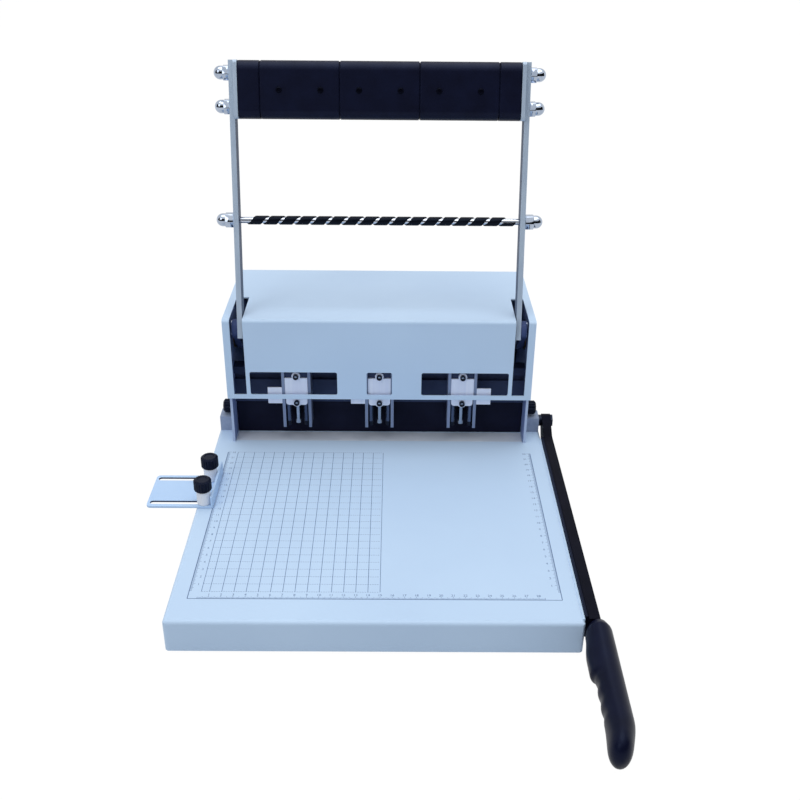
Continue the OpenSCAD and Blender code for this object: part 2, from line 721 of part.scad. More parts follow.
// A domed nut on a rod's end at s along the handle, with its six sides longer by more
module cap_nut(s, more) translate([arm_out, on_handle(s)[0], on_handle(s)[1]]) rotate([0, 90, 0]) {
    cylinder(h = nut_h + more, d = nut_af / cos(30), $fn = 6);
    cylinder(h = dome_h + more, d = dome_d);
    translate([0, 0, dome_h + more]) sphere(d = dome_d);
}
module cap_nuts() color("silver") both() {
    for (s = grip_rod_runs) cap_nut(s, 0);
    cap_nut(rod_run, rod_nut_more);
}

// Band wound round the spacer rod: one six sided strip swept along a helix
wrap_half = arm_in - wrap_inset;
wrap_pitch = 2 * wrap_half / (wrap_turns + wrap_cover);
wrap_w = wrap_cover * wrap_pitch;
wrap_r = rod_d / 2 + run_gap;
wrap_steps = 24;
wrap_section = [
    [-wrap_w / 2, 0], [-wrap_w / 2, 0.75 * wrap_wall], [-wrap_w / 4, wrap_wall],
    [wrap_w / 4, wrap_wall], [wrap_w / 2, 0.75 * wrap_wall], [wrap_w / 2, 0]
];
function wrap_point(k, q) = let (
    a = -360 * k / wrap_steps,
    r = (wrap_r + q[1]) / (q[1] == 0 ? cos(180 / wrap_steps) : 1)
) [
    -wrap_half + wrap_w / 2 + wrap_pitch * k / wrap_steps + q[0],
    on_handle(rod_run)[0] + r * cos(a),
    on_handle(rod_run)[1] + r * sin(a)
];
wrap_last = round(wrap_turns * wrap_steps);
echo("least gap of the wound band to itself", min([
    for (k = [0:wrap_last - wrap_steps], p = wrap_section, q = wrap_section)
        norm(wrap_point(k + wrap_steps, p) - wrap_point(k, q))
]));
// Side and end faces, as triangles, of rings of n points
function skin_faces(n, last) = concat(
    [for (k = [0:last - 1], i = [0:n - 1]) let (j = (i + 1) % n) [k * n + i, k * n + n + i, k * n + n + j]],
    [for (k = [0:last - 1], i = [0:n - 1]) let (j = (i + 1) % n) [k * n + i, k * n + n + j, k * n + j]],
    [for (i = [1:n - 2]) [0, i, i + 1]],
    [for (i = [1:n - 2]) [last * n, last * n + i + 1, last * n + i]]
);
// Faces turned over, for rings that run the other way round
function turned(faces) = [for (f = faces) [f[2], f[1], f[0]]];
module rod_wrap() color("black") polyhedron(
    points = [for (k = [0:wrap_last], q = wrap_section) wrap_point(k, q)],
    faces = turned(skin_faces(len(wrap_section), wrap_last))
);

// Side guide
guide_left = guide_right - guide_w;
guide_slot_w = stud_d + 2 * slide_gap;
module side_guide() color("lightsteelblue") difference() {
    union() {
        translate([0, 0, guide_z]) linear_extrude(guide_t) {
            translate([guide_left + guide_r, guide_front]) square([guide_w - guide_r, guide_d]);
            translate([guide_left, guide_front + guide_r]) square([guide_w, guide_d - 2 * guide_r]);
            for (y = [guide_r, guide_d - guide_r])
                translate([guide_left + guide_r, guide_front + y]) circle(guide_r);
        }
        box([guide_right - guide_t, guide_front, guide_z],
            [guide_right, guide_front + guide_d + guide_tail, guide_z + guide_fence_h]);
    }
    for (p = knob_spots)
        slot_z([guide_left + guide_slot_end + guide_slot_w / 2, p[1]], [p[0] + slide_gap, p[1]], guide_slot_w,
            guide_z - cut, guide_t + 2 * cut);
}
cap_z = sleeve_z + sleeve_h;
stud_grip = 8;
module guide_studs() color("silver") for (p = knob_spots) translate([p[0], p[1], top_z - base_wall]) {
    translate([0, 0, -2]) cylinder(h = 2, d = 9);
    cylinder(h = cap_z + stud_grip - top_z + base_wall, d = stud_d);
}
module guide_sleeves() color("white") for (p = knob_spots) translate([p[0], p[1], sleeve_z]) difference() {
    cylinder(h = sleeve_h, d = sleeve_d);
    translate([0, 0, -cut]) cylinder(h = sleeve_h + 2 * cut, d = stud_d);
}
module guide_cap(p) color("black") translate([p[0], p[1], cap_z + slide_gap]) difference() {
    cylinder(h = knob_cap_h, d = knob_cap_d);
    translate([0, 0, -cut]) cylinder(h = cut + stud_grip, d = stud_d + 2 * run_gap);
}
module guide_cap_front() guide_cap(knob_spots[0]);
module guide_cap_rear() guide_cap(knob_spots[1]);

// Paper stop
stop_knob_in = plate_out + 0.6;
module paper_stop() color("dimgray") {
    box([-stop_half, stop_y, top_z + slide_gap], [stop_half, stop_y + stop_t, top_z + stop_h]);
    both() {
        box([stop_half - 3, stop_y, stop_stud[1] - stop_tab_h / 2],
            [stop_half, stop_y + stop_tab_d, stop_stud[1] + stop_tab_h / 2]);
        bar_x(stop_stud, stop_half - 1, stop_knob_in + stop_knob_l - 3 - stop_half + 1, stop_stud_d);
    }
}
module stop_knob() color("black") difference() {
    bar_x(stop_stud, stop_knob_in, stop_knob_l, stop_knob_d);
    bar_x(stop_stud, stop_knob_in - cut, cut + stop_knob_l - 2.8, stop_stud_d + 2 * run_gap);
}
module stop_knob_right() stop_knob();
module stop_knob_left() mirror([1, 0, 0]) stop_knob();

// Trimmer
trim_bar_in = trim_in + trim_blade_t;
trim_bar_t = trim_out - trim_bar_in;
trim_mid_x = (trim_in + trim_out) / 2;
trim_mid_z = trim_top - trim_h / 2;
trim_screw_y = [for (i = [0:4]) trim_front + 40 + i * (trim_blade_end - trim_front - 60) / 4];
module trim_bar() color("black") difference() {
    union() {
        along_x(trim_bar_in, trim_bar_t) {
            link(trim_pivot_at, trim_ear_r, [bracket_y - trim_crank_l, trim_mid_z], trim_h / 2);
            translate([trim_front, trim_top - trim_h]) square([bracket_y - trim_crank_l - trim_front, trim_h]);
        }
        box([trim_mid_x - tang_w / 2, trim_front - tang_l, trim_mid_z - tang_h / 2],
            [trim_mid_x + tang_w / 2, trim_front + cut, trim_mid_z + tang_h / 2]);
    }
    bar_x(trim_pivot_at, trim_bar_in - cut, trim_bar_t + 2 * cut, trim_pivot_d + 2 * run_gap);
    for (y = trim_screw_y) bar_x([y, trim_mid_z], trim_bar_in - cut, trim_bar_t + 2 * cut, screw_d);
}
module trim_blade() color("gray") difference() {
    box([trim_in, trim_front + 4, trim_top - trim_h + 2], [trim_bar_in, trim_blade_end, trim_top - 1]);
    for (y = trim_screw_y) bar_x([y, trim_mid_z], trim_in - cut, trim_blade_t + 2 * cut, screw_d);
}
module trim_screws() color("silver") for (y = trim_screw_y) {
    bar_x([y, trim_mid_z], trim_in, trim_w, screw_d);
    bar_x([y, trim_mid_z], trim_out, screw_head_h, screw_head_d + 1);
}
module trim_pivot() color("silver") {
    block_x = plate_out + bracket_w;
    bar_x(trim_pivot_at, block_x - trim_pivot_sunk, trim_out + slide_gap - block_x + trim_pivot_sunk,
        trim_pivot_d);
    bar_x(trim_pivot_at, block_x, trim_bar_in - slide_gap - block_x, trim_shoulder_d);
    bar_x(trim_pivot_at, trim_out + slide_gap, trim_pivot_head_h, trim_pivot_head_af / cos(30), $fn = 6);
}
// The grip is a row of rings along its length: t runs from 0 at the bar to 1 at the free end
function end_round(t) = t > grip_nose ? sqrt(max(0, 1 - pow((t - grip_nose) / (1.0005 - grip_nose), 2)))
    : t < grip_collar ? grip_collar_part + (1 - grip_collar_part) * t / grip_collar : 1;
function swell(t, from, to) = 0.5 - 0.5 * cos(180 * max(0, min(1, (t - from) / (to - from))));
function grip_wide(t) = (trim_grip_w / 2 - grip_taper * swell(t, finger_to, 1)) * end_round(t);
function grip_tall(t) = (trim_grip_h / 2 - grip_waist * sin(180 * min(1, t / grip_nose))) * end_round(t);
function grip_aside(t) = grip_bow * (1 - swell(t, finger_to, 1));
function finger(t) = t > finger_from && t < finger_to
    ? 0.5 - 0.5 * cos(360 * fingers * (t - finger_from) / (finger_to - finger_from)) : 0;
function guard(t) = swell(t, grip_collar, guard_full) - swell(t, guard_end, finger_from);
function grip_point(t, a) = let (
    inner = pow(max(0, cos(a - finger_side)), 2),
    reach = 1 + (guard_part * guard(t) - finger_dent * finger(t)) * inner
) [
    trim_mid_x + grip_aside(t) + reach * grip_wide(t) * cos(a),
    trim_front - grip_gap - t * trim_grip_l,
    trim_mid_z + grip_lift - grip_droop * pow(t, grip_curve) + reach * grip_tall(t) * sin(a)
];
module trim_grip() color("black") difference() {
    polyhedron(
        points = [
            for (k = [0:grip_rings], i = [0:grip_sides - 1]) grip_point(k / grip_rings, 360 * i / grip_sides)
        ],
        faces = skin_faces(grip_sides, grip_rings)
    );
    box([trim_mid_x - tang_w / 2, trim_front - tang_l, trim_mid_z - tang_h / 2],
        [trim_mid_x + tang_w / 2, trim_front + cut, trim_mid_z + tang_h / 2]);
}

// The pieces
base_tray();
base_bottom();
feet();
foot_screws();
cutting_strip();
lower_blade();
side_plate_left();
side_plate_right();
head_brackets();
frame_screws();
hood();
rear_beam();
unit_rail();
shaft_bushes();
guide_posts();
return_springs();
pressure_bar();
punch_frame_left();
punch_frame_middle();
punch_frame_right();
face_plate_left();
face_plate_middle();
face_plate_right();
face_screws_left();
face_screws_middle();
face_screws_right();
punch_pin_left();
punch_pin_middle();
punch_pin_right();
drive_shaft();
drive_cranks();
crank_arm_left();
crank_arm_right();
crank_bolts();
handle_arm_left();
handle_arm_right();
grip_plates();
grip_caps();
grip_left();
grip_middle();
grip_right();
grip_screws();
grip_rods();
spacer_rod();
rod_wrap();
cap_nuts();
side_guide();
guide_studs();
guide_sleeves();
guide_cap_front();
guide_cap_rear();
paper_stop();
stop_knob_left();
stop_knob_right();
trim_bar();
trim_blade();
trim_screws();
trim_grip();
trim_pivot();
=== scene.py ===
# %% [markdown]
# A desk hole punch, dressed for its portrait
# The solid model arrives as a fixed frame: every piece sits where it works, at its real size.
# This lesson gives those pieces softened edges and real finishes, and models anew the ones whose
# shape the eye dwells on: the moulded grip, the wound rod, the ribbed knobs and the domed nuts.

# %% The frame
import json
import math
import bmesh
import bpy
from mathutils import Matrix, Vector


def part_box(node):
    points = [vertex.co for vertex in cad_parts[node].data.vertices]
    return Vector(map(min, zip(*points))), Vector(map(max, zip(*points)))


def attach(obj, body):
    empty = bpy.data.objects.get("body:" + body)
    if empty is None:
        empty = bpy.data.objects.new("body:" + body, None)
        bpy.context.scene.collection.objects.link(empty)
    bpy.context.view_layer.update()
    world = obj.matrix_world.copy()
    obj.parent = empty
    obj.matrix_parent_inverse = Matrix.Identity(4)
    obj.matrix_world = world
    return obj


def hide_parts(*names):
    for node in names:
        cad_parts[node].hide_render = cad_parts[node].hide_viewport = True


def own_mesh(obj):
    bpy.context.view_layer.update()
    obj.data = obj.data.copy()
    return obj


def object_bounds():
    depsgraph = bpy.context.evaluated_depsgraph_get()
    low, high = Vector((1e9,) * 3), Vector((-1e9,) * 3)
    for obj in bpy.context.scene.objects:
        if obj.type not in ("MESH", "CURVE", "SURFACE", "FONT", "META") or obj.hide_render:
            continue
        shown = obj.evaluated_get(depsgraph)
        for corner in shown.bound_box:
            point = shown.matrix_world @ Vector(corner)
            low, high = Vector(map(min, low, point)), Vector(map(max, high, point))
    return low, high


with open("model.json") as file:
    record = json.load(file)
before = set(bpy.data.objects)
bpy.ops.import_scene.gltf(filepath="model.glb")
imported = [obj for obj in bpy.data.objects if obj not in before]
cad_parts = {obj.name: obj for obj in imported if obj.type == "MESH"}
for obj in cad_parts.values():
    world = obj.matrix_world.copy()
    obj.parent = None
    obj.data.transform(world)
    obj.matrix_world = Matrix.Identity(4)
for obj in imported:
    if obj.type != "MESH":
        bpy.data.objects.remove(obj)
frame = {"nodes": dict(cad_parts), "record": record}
cad_low, cad_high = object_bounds()
MM = 0.001
print("nodes:", len(frame["nodes"]), "overall:", [round(v, 4) for v in cad_high - cad_low])

# %% [markdown]
# The camera
# The portrait is taken from in front of the desk and above the handle, looking down by 28 degrees. A
# camera could be set by eye, but this one was worked out from the corners of the base and the lines
# ruled on it, so it stands at a real place and the proportions come out right.

# %% The camera
EYE = Vector((14.37, -843.08, 563.2)) * MM
LENS_MM, SENSOR_MM, NEAREST = 45.44, 36, 10 * MM
PITCH, YAW, ROLL = math.radians(28.334), math.radians(0.4128), math.radians(0.5484)


def look_from(eye, pitch, yaw, roll):
    """A camera's place: its right, up and backward directions as columns, then its position."""
    ahead = Vector((math.sin(yaw) * math.cos(pitch), math.cos(yaw) * math.cos(pitch), -math.sin(pitch)))
    level = Vector((math.cos(yaw), -math.sin(yaw), 0))
    upright = level.cross(ahead)
    right = math.cos(roll) * level + math.sin(roll) * upright
    up = -math.sin(roll) * level + math.cos(roll) * upright
    turn = Matrix((right, up, -ahead)).transposed().to_4x4()
    return Matrix.Translation(eye) @ turn


camera_data = bpy.data.cameras.new("portrait")
camera_data.lens = LENS_MM
camera_data.sensor_width = SENSOR_MM
camera_data.clip_start = NEAREST
camera = bpy.data.objects.new("portrait", camera_data)
camera.matrix_world = look_from(EYE, PITCH, YAW, ROLL)
bpy.context.scene.collection.objects.link(camera)
bpy.context.scene.camera = camera
print("camera at", [round(v, 3) for v in EYE])

# %% [markdown]
# The white room
# A catalogue picture has a white sweep all round. Turning up the lamps would bleach the paint, so the room
# and the floor are white only for rays that look at the background: those from the camera, and those that
# a mirror or clear plastic sends on. Other rays meet a gentler fill, and the floor keeps a faint shadow.

# %% The white room
scene = bpy.context.scene
scene.view_settings.view_transform = "Standard"
WHITE = (1, 1, 1, 1)
FLOOR_SIZE, FLOOR_PAINT = 12.0, (0.5, 0.52, 0.55, 1)
FLOOR_LIFT, FLOOR_GLOW = 0.94, 1.05
ROOM_FILL, ROOM_TINT = 0.56, (0.94, 0.97, 1.0, 1)


def background_rays(nodes, links):
    """1 for rays that show the background: straight ones, mirrored ones and ones that pass through."""
    path = nodes.new("ShaderNodeLightPath")
    shown = path.outputs["Is Camera Ray"]
    for kind in ("Is Glossy Ray", "Is Transmission Ray"):
        either = nodes.new("ShaderNodeMath")
        either.operation = "MAXIMUM"
        links.new(shown, either.inputs[0])
        links.new(path.outputs[kind], either.inputs[1])
        shown = either.outputs[0]
    return shown


def white_world():
    world = bpy.data.worlds.new("soft_room")
    scene.world = world
    world.use_nodes = True
    nodes, links = world.node_tree.nodes, world.node_tree.links
    nodes.clear()
    fill = nodes.new("ShaderNodeBackground")
    fill.inputs["Color"].default_value = ROOM_TINT
    fill.inputs["Strength"].default_value = ROOM_FILL
    white = nodes.new("ShaderNodeBackground")
    white.inputs["Color"].default_value = WHITE
    white.inputs["Strength"].default_value = 1.0
    mix = nodes.new("ShaderNodeMixShader")
    links.new(background_rays(nodes, links), mix.inputs[0])
    links.new(fill.outputs[0], mix.inputs[1])
    links.new(white.outputs[0], mix.inputs[2])
    links.new(mix.outputs[0], nodes.new("ShaderNodeOutputWorld").inputs[0])


def stage_piece(name, bm):
    """A piece of the studio, which isn't part of the machine, with an empty material to fill in."""
    mesh = bpy.data.meshes.new(name)
    bm.to_mesh(mesh)
    bm.free()
    piece = bpy.data.objects.new(name, mesh)
    scene.collection.objects.link(piece)
    material = bpy.data.materials.new(name)
    material.use_nodes = True
    material.node_tree.nodes.clear()
    mesh.materials.append(material)
    return piece, material.node_tree.nodes, material.node_tree.links


def white_floor(level):
    bm = bmesh.new()
    bmesh.ops.create_grid(bm, x_segments=1, y_segments=1, size=FLOOR_SIZE / 2)
    bmesh.ops.translate(bm, vec=(0, 0, level), verts=bm.verts)
    _, nodes, links = stage_piece("floor", bm)
    paint = nodes.new("ShaderNodeBsdfDiffuse")
    paint.inputs["Color"].default_value = FLOOR_PAINT
    glow = nodes.new("ShaderNodeEmission")
    glow.inputs["Strength"].default_value = FLOOR_GLOW
    lift = nodes.new("ShaderNodeMath")
    lift.operation = "MULTIPLY"
    lift.inputs[1].default_value = FLOOR_LIFT
    links.new(background_rays(nodes, links), lift.inputs[0])
    mix = nodes.new("ShaderNodeMixShader")
    links.new(lift.outputs[0], mix.inputs[0])
    links.new(paint.outputs[0], mix.inputs[1])
    links.new(glow.outputs[0], mix.inputs[2])
    links.new(mix.outputs[0], nodes.new("ShaderNodeOutputMaterial").inputs[0])


white_world()
white_floor(cad_low.z)
print("floor at", round(cad_low.z, 4))

# %% [markdown]
# Lamps and a black wall
# Most of the light falls from above, so that the tops come out brighter than the fronts. Bright steel in a
# white room has nothing to mirror and turns to chalk, so photographers put black cloth round it. Here half
# a ring of cloth is met by mirrored rays alone: it draws dark bands on the nuts and rods, and shades
# nothing.

# %% Lamps and a black wall
# Name, place, the point it faces, size in metres, watts
LAMPS = (
    ("overhead", (0.1, 0.1, 2.4), (0, 0, 0.1), 2.2, 33),
    ("front_left", (-1.6, -1.8, 1.6), (0, 0, 0.15), 1.4, 13),
)
WALL_R, WALL_HIGH, WALL_BACK, WALL_SIDES = 3.0, 2.3, 0.2, 64
BLACK_CLOTH = (0.012, 0.013, 0.016, 1)


def soft_box(name, place, target, size, watts):
    """A square area lamp that faces a point."""
    lamp = bpy.data.lights.new(name, "AREA")
    lamp.size = size
    lamp.energy = watts
    thing = bpy.data.objects.new(name, lamp)
    thing.location = place
    thing.rotation_euler = (Vector(target) - Vector(place)).to_track_quat("-Z", "Y").to_euler()
    scene.collection.objects.link(thing)


def black_wall():
    bm = bmesh.new()
    bmesh.ops.create_cone(bm, cap_ends=False, segments=WALL_SIDES, radius1=WALL_R, radius2=WALL_R,
                          depth=WALL_HIGH)
    bmesh.ops.translate(bm, vec=(0, 0, WALL_HIGH / 2), verts=bm.verts)
    bmesh.ops.delete(bm, geom=[v for v in bm.verts if v.co.y > WALL_BACK], context="VERTS")
    wall, nodes, links = stage_piece("black_wall", bm)
    cloth = nodes.new("ShaderNodeBsdfDiffuse")
    cloth.inputs["Color"].default_value = BLACK_CLOTH
    links.new(cloth.outputs[0], nodes.new("ShaderNodeOutputMaterial").inputs[0])
    wall.visible_camera = False
    wall.visible_diffuse = False
    wall.visible_shadow = False
    wall.visible_transmission = False


for lamp in LAMPS:
    soft_box(*lamp)
black_wall()
print("lamps:", len(bpy.data.lights))

# %% [markdown]
# One effect for every finish
# Real paint, steel and plastic are never one flat colour. Every material could have noise of its own,
# but then a change would have to be made thirty times. So one shared node group takes two tones of a
# finish and mixes them in slow patches, gives the gloss a little drift, and puts out a fine grain height
# for the bump. Stretching the coordinates before the group turns the same grain into brush lines on
# steel.

# %% The shared surface group
PATCH_DETAIL, GRAIN_DETAIL = 3, 2
PATCH_LOW, PATCH_HIGH = 0.3, 0.7
GRAIN_SHARE, PATCH_SHARE = 0.6, 0.4


def surface_group():
    """Two tones in slow patches, a drift of the gloss and the height of a fine grain."""
    group = bpy.data.node_groups.new("surface_variation", "ShaderNodeTree")
    face = group.interface
    face.new_socket("Vector", in_out="INPUT", socket_type="NodeSocketVector")
    for name in ("Tone", "Shade"):
        face.new_socket(name, in_out="INPUT", socket_type="NodeSocketColor")
    for name in ("Patch Scale", "Grain Scale", "Low Gloss", "High Gloss"):
        face.new_socket(name, in_out="INPUT", socket_type="NodeSocketFloat")
    face.new_socket("Color", in_out="OUTPUT", socket_type="NodeSocketColor")
    for name in ("Roughness", "Height"):
        face.new_socket(name, in_out="OUTPUT", socket_type="NodeSocketFloat")
    nodes, links = group.nodes, group.links
    come = nodes.new("NodeGroupInput")
    leave = nodes.new("NodeGroupOutput")
    patch = nodes.new("ShaderNodeTexNoise")
    patch.inputs["Detail"].default_value = PATCH_DETAIL
    grain = nodes.new("ShaderNodeTexNoise")
    grain.inputs["Detail"].default_value = GRAIN_DETAIL
    for noise, scale in ((patch, "Patch Scale"), (grain, "Grain Scale")):
        links.new(come.outputs["Vector"], noise.inputs["Vector"])
        links.new(come.outputs[scale], noise.inputs["Scale"])
    spread = nodes.new("ShaderNodeMapRange")
    spread.inputs["From Min"].default_value = PATCH_LOW
    spread.inputs["From Max"].default_value = PATCH_HIGH
    links.new(patch.outputs["Fac"], spread.inputs["Value"])
    mix = nodes.new("ShaderNodeMix")
    mix.data_type = "RGBA"
    links.new(spread.outputs["Result"], mix.inputs["Factor"])
    links.new(come.outputs["Tone"], mix.inputs["A"])
    links.new(come.outputs["Shade"], mix.inputs["B"])
    blend = nodes.new("ShaderNodeMath")
    blend.operation = "MULTIPLY_ADD"
    blend.inputs[1].default_value = GRAIN_SHARE
    links.new(grain.outputs["Fac"], blend.inputs[0])
    share = nodes.new("ShaderNodeMath")
    share.operation = "MULTIPLY"
    share.inputs[1].default_value = PATCH_SHARE
    links.new(spread.outputs["Result"], share.inputs[0])
    links.new(share.outputs[0], blend.inputs[2])
    gloss = nodes.new("ShaderNodeMapRange")
    links.new(blend.outputs[0], gloss.inputs["Value"])
    links.new(come.outputs["Low Gloss"], gloss.inputs["To Min"])
    links.new(come.outputs["High Gloss"], gloss.inputs["To Max"])
    links.new(mix.outputs["Result"], leave.inputs["Color"])
    links.new(gloss.outputs["Result"], leave.inputs["Roughness"])
    links.new(grain.outputs["Fac"], leave.inputs["Height"])
    return group


SURFACE = surface_group()
given = [socket.name for socket in SURFACE.interface.items_tree if socket.in_out == "OUTPUT"]
print("outputs of the group:", given)

# %% [markdown]
# From the group to a material
# A colour is written in 0 to 255, and the renderer works in linear light, so it is converted once,
# here. The gloss, colour and grain of a material come from the group. How metallic it is and how much it
# shines are the same all over, so they are set on the shader itself.

# %% From the group to a material
RELIEF = 0.35


def shade_of(rgb):
    """A colour written in 0 to 255, as the renderer's linear light."""
    return tuple(((v / 255 + 0.055) / 1.055) ** 2.4 if v > 10 else v / 255 / 12.92 for v in rgb) + (1,)


def finish(name, tone, shade, gloss, patch, grain, bump,
           stretch=(1, 1, 1), metal=0.0, sheen=0.5, tint=WHITE):
    """A material whose colour, gloss and grain come from the shared group."""
    material = bpy.data.materials.new(name)
    material.use_nodes = True
    nodes, links = material.node_tree.nodes, material.node_tree.links
    shader = nodes["Principled BSDF"]
    shader.inputs["Metallic"].default_value = metal
    shader.inputs["Specular IOR Level"].default_value = sheen
    shader.inputs["Specular Tint"].default_value = tint
    where = nodes.new("ShaderNodeTexCoord")
    turn = nodes.new("ShaderNodeMapping")
    turn.inputs["Scale"].default_value = stretch
    links.new(where.outputs["Object"], turn.inputs["Vector"])
    surface = nodes.new("ShaderNodeGroup")
    surface.node_tree = SURFACE
    surface.inputs["Tone"].default_value = shade_of(tone)
    surface.inputs["Shade"].default_value = shade_of(shade)
    surface.inputs["Patch Scale"].default_value = patch
    surface.inputs["Grain Scale"].default_value = grain
    surface.inputs["Low Gloss"].default_value = gloss[0]
    surface.inputs["High Gloss"].default_value = gloss[1]
    links.new(turn.outputs["Vector"], surface.inputs["Vector"])
    links.new(surface.outputs["Color"], shader.inputs["Base Color"])
    links.new(surface.outputs["Roughness"], shader.inputs["Roughness"])
    relief = nodes.new("ShaderNodeBump")
    relief.inputs["Strength"].default_value = RELIEF
    relief.inputs["Distance"].default_value = bump
    links.new(surface.outputs["Height"], relief.inputs["Height"])
    links.new(relief.outputs["Normal"], shader.inputs["Normal"])
    return material


print("mid grey in linear light:", round(shade_of((128, 128, 128))[0], 3))

# %% [markdown]
# Paint
# The sheet metal is enamelled in a pale blue white, and the mechanism inside is painted navy. The side
# plates' faces towards the mechanism get a navy of their own as painted shade, and the crank arms a
# lighter copy of the inner navy as painted light. Each finish is one call: two close tones, a range of
# gloss in which a higher number is duller, the size of its patches and its grain in waves per metre, and
# the depth of the grain in metres. Sprayed paint has a faint orange peel, so its grain is fine and
# shallow. The darker paints get less sheen, or the white room would turn them grey.

# %% Paint
ENAMEL = finish("pale_enamel", (191, 214, 239), (186, 209, 235), gloss=(0.38, 0.5), patch=9, grain=900,
                bump=0.00002, sheen=0.3)
GUIDE_ENAMEL = finish("guide_enamel", (185, 212, 244), (178, 206, 240), gloss=(0.34, 0.46), patch=20,
                      grain=900, bump=0.00002, sheen=0.3)
FRAME_GREY = finish("frame_grey", (176, 192, 220), (166, 182, 212), gloss=(0.38, 0.5), patch=25, grain=800,
                    bump=0.00002)
# Painted shade: the side plates' faces towards the mechanism get this navy instead of the pale grey.
PAINTED_SHADE_NAVY = finish("painted_shade_navy", (128, 148, 198), (114, 133, 182), gloss=(0.5, 0.62), patch=40,
                    grain=1100, bump=0.00002, sheen=0.2)
INNER_NAVY = finish("inner_navy", (52, 63, 95), (42, 52, 81), gloss=(0.45, 0.6), patch=40, grain=1100,
                    bump=0.00002, sheen=0.15)
BLOCK_GREY = finish("cast_block", (156, 170, 196), (136, 150, 178), gloss=(0.45, 0.62), patch=120,
                    grain=1500, bump=0.00004, sheen=0.3)
# Painted light: a lighter copy of the inner navy for the crank arms deep inside the hood.
CRANK_NAVY_PAINTED_LIGHT = finish("crank_navy_painted_light", (66, 80, 122), (54, 67, 106), gloss=(0.45, 0.6), patch=40, grain=1100,
                    bump=0.00002, sheen=0.1)
DARK_PAINT = finish("dark_paint", (22, 25, 46), (16, 18, 38), gloss=(0.42, 0.56), patch=40, grain=1200,
                    bump=0.00002, sheen=0.08)
print("materials so far:", len(bpy.data.materials))

# %% [markdown]
# Steel
# Bare steel shows how it was worked: brushed along an arm, ground round a shaft, polished along a rod.
# An image of brush lines would have to be unwrapped on every piece. Here the grain is the same noise,
# drawn out along one axis. The rods, pins and nuts mirror the room in full. The sawn edges, the face
# plates and the cheeks of the punch units are only partly metallic, because there a mirror would show
# nothing but white.

# %% Steel
ALONG_X, ALONG_Y, ALONG_Z = (0.03, 1, 1), (1, 0.03, 1), (1, 1, 0.03)
COOL = (0.5, 0.64, 1, 1)
CHEEK_GREY = finish("cheek_grey", (136, 148, 176), (116, 128, 156), gloss=(0.3, 0.42), patch=60, grain=900,
                    bump=0.00002, stretch=ALONG_Z, metal=0.4, sheen=0.3)
POST_BLUE = finish("post_blue", (88, 98, 122), (66, 76, 100), gloss=(0.16, 0.28), patch=60, grain=900,
                   bump=0.000006, stretch=ALONG_Z, metal=0.9)
BRIGHT_PLATE = finish("bright_plate", (226, 232, 248), (212, 220, 242), gloss=(0.3, 0.45), patch=200,
                      grain=2600, bump=0.00001, stretch=ALONG_Z, metal=0.2)
BRUSHED_ARM = finish("brushed_arm", (186, 206, 228), (168, 188, 212), gloss=(0.2, 0.3), patch=120,
                     grain=1200, bump=0.000004, stretch=ALONG_Z, metal=0.95)
SAWN_EDGE = finish("sawn_edge", (184, 200, 218), (164, 181, 202), gloss=(0.4, 0.55), patch=90, grain=1500,
                   bump=0.00001, stretch=ALONG_Z, metal=0.25)
# Painted shade and reflection: a dull dark finish for the inner sides of the handle's arms.
PAINTED_SHADE_SIDE = finish("painted_shade_side", (90, 102, 124), (72, 84, 106), gloss=(0.45, 0.6), patch=120,
                     grain=1200, bump=0.000004, stretch=ALONG_Z, sheen=0.1)
ZINC = finish("zinc_plate", (190, 198, 212), (164, 172, 188), gloss=(0.24, 0.38), patch=150, grain=1400,
              bump=0.00001, metal=0.95)
GROUND_STEEL = finish("ground_steel", (176, 184, 198), (148, 156, 172), gloss=(0.22, 0.36), patch=200,
                      grain=3000, bump=0.00001, stretch=ALONG_Y, metal=1.0)
POLISHED = finish("polished_steel", (206, 213, 224), (186, 194, 208), gloss=(0.1, 0.2), patch=150,
                  grain=1800, bump=0.000004, stretch=ALONG_X, metal=1.0)
HARD_STEEL = finish("hardened_pin", (172, 180, 194), (150, 158, 174), gloss=(0.1, 0.18), patch=150,
                    grain=1800, bump=0.000004, stretch=ALONG_Z, metal=1.0)
BLUED_EDGE = finish("blued_blade", (22, 24, 40), (14, 16, 30), gloss=(0.3, 0.42), patch=150, grain=1800,
                    bump=0.000006, stretch=ALONG_Y, metal=0.5, sheen=0.2, tint=COOL)
CHROME = finish("chrome", (178, 188, 204), (156, 168, 186), gloss=(0.06, 0.14), patch=180, grain=1500,
                bump=0.000003, metal=1.0)
print("materials so far:", len(bpy.data.materials))

# %% [markdown]
# Blacks
# The grips, the trimmer's arm and the knobs are black plastic or blackened steel. A black with full
# sheen would turn grey in a white room, and one with none would look like a hole. So a little sheen is
# left on them, and it is tinted blue, because the real blacks shine in a cold colour.

# %% Blacks
BLACK_OXIDE = finish("black_oxide", (14, 16, 30), (8, 10, 21), gloss=(0.22, 0.34), patch=300, grain=2200,
                     bump=0.00001, sheen=0.3, tint=COOL)
BLACK_GRIP = finish("moulded_black", (17, 20, 42), (12, 13, 32), gloss=(0.36, 0.48), patch=60, grain=2600,
                    bump=0.00003, sheen=0.16, tint=COOL)
BLACK_ARM = finish("black_arm", (8, 8, 22), (5, 5, 15), gloss=(0.38, 0.52), patch=50, grain=1800,
                   bump=0.00002, sheen=0.06, tint=COOL)
BLACK_KNOB = finish("black_knob", (16, 20, 38), (10, 12, 26), gloss=(0.34, 0.46), patch=200, grain=1800,
                    bump=0.00002, sheen=0.14, tint=COOL)
SOFT_GRIP = finish("soft_grip", (13, 16, 38), (8, 9, 27), gloss=(0.3, 0.44), patch=45, grain=2200,
                   bump=0.00003, sheen=0.14, tint=COOL)
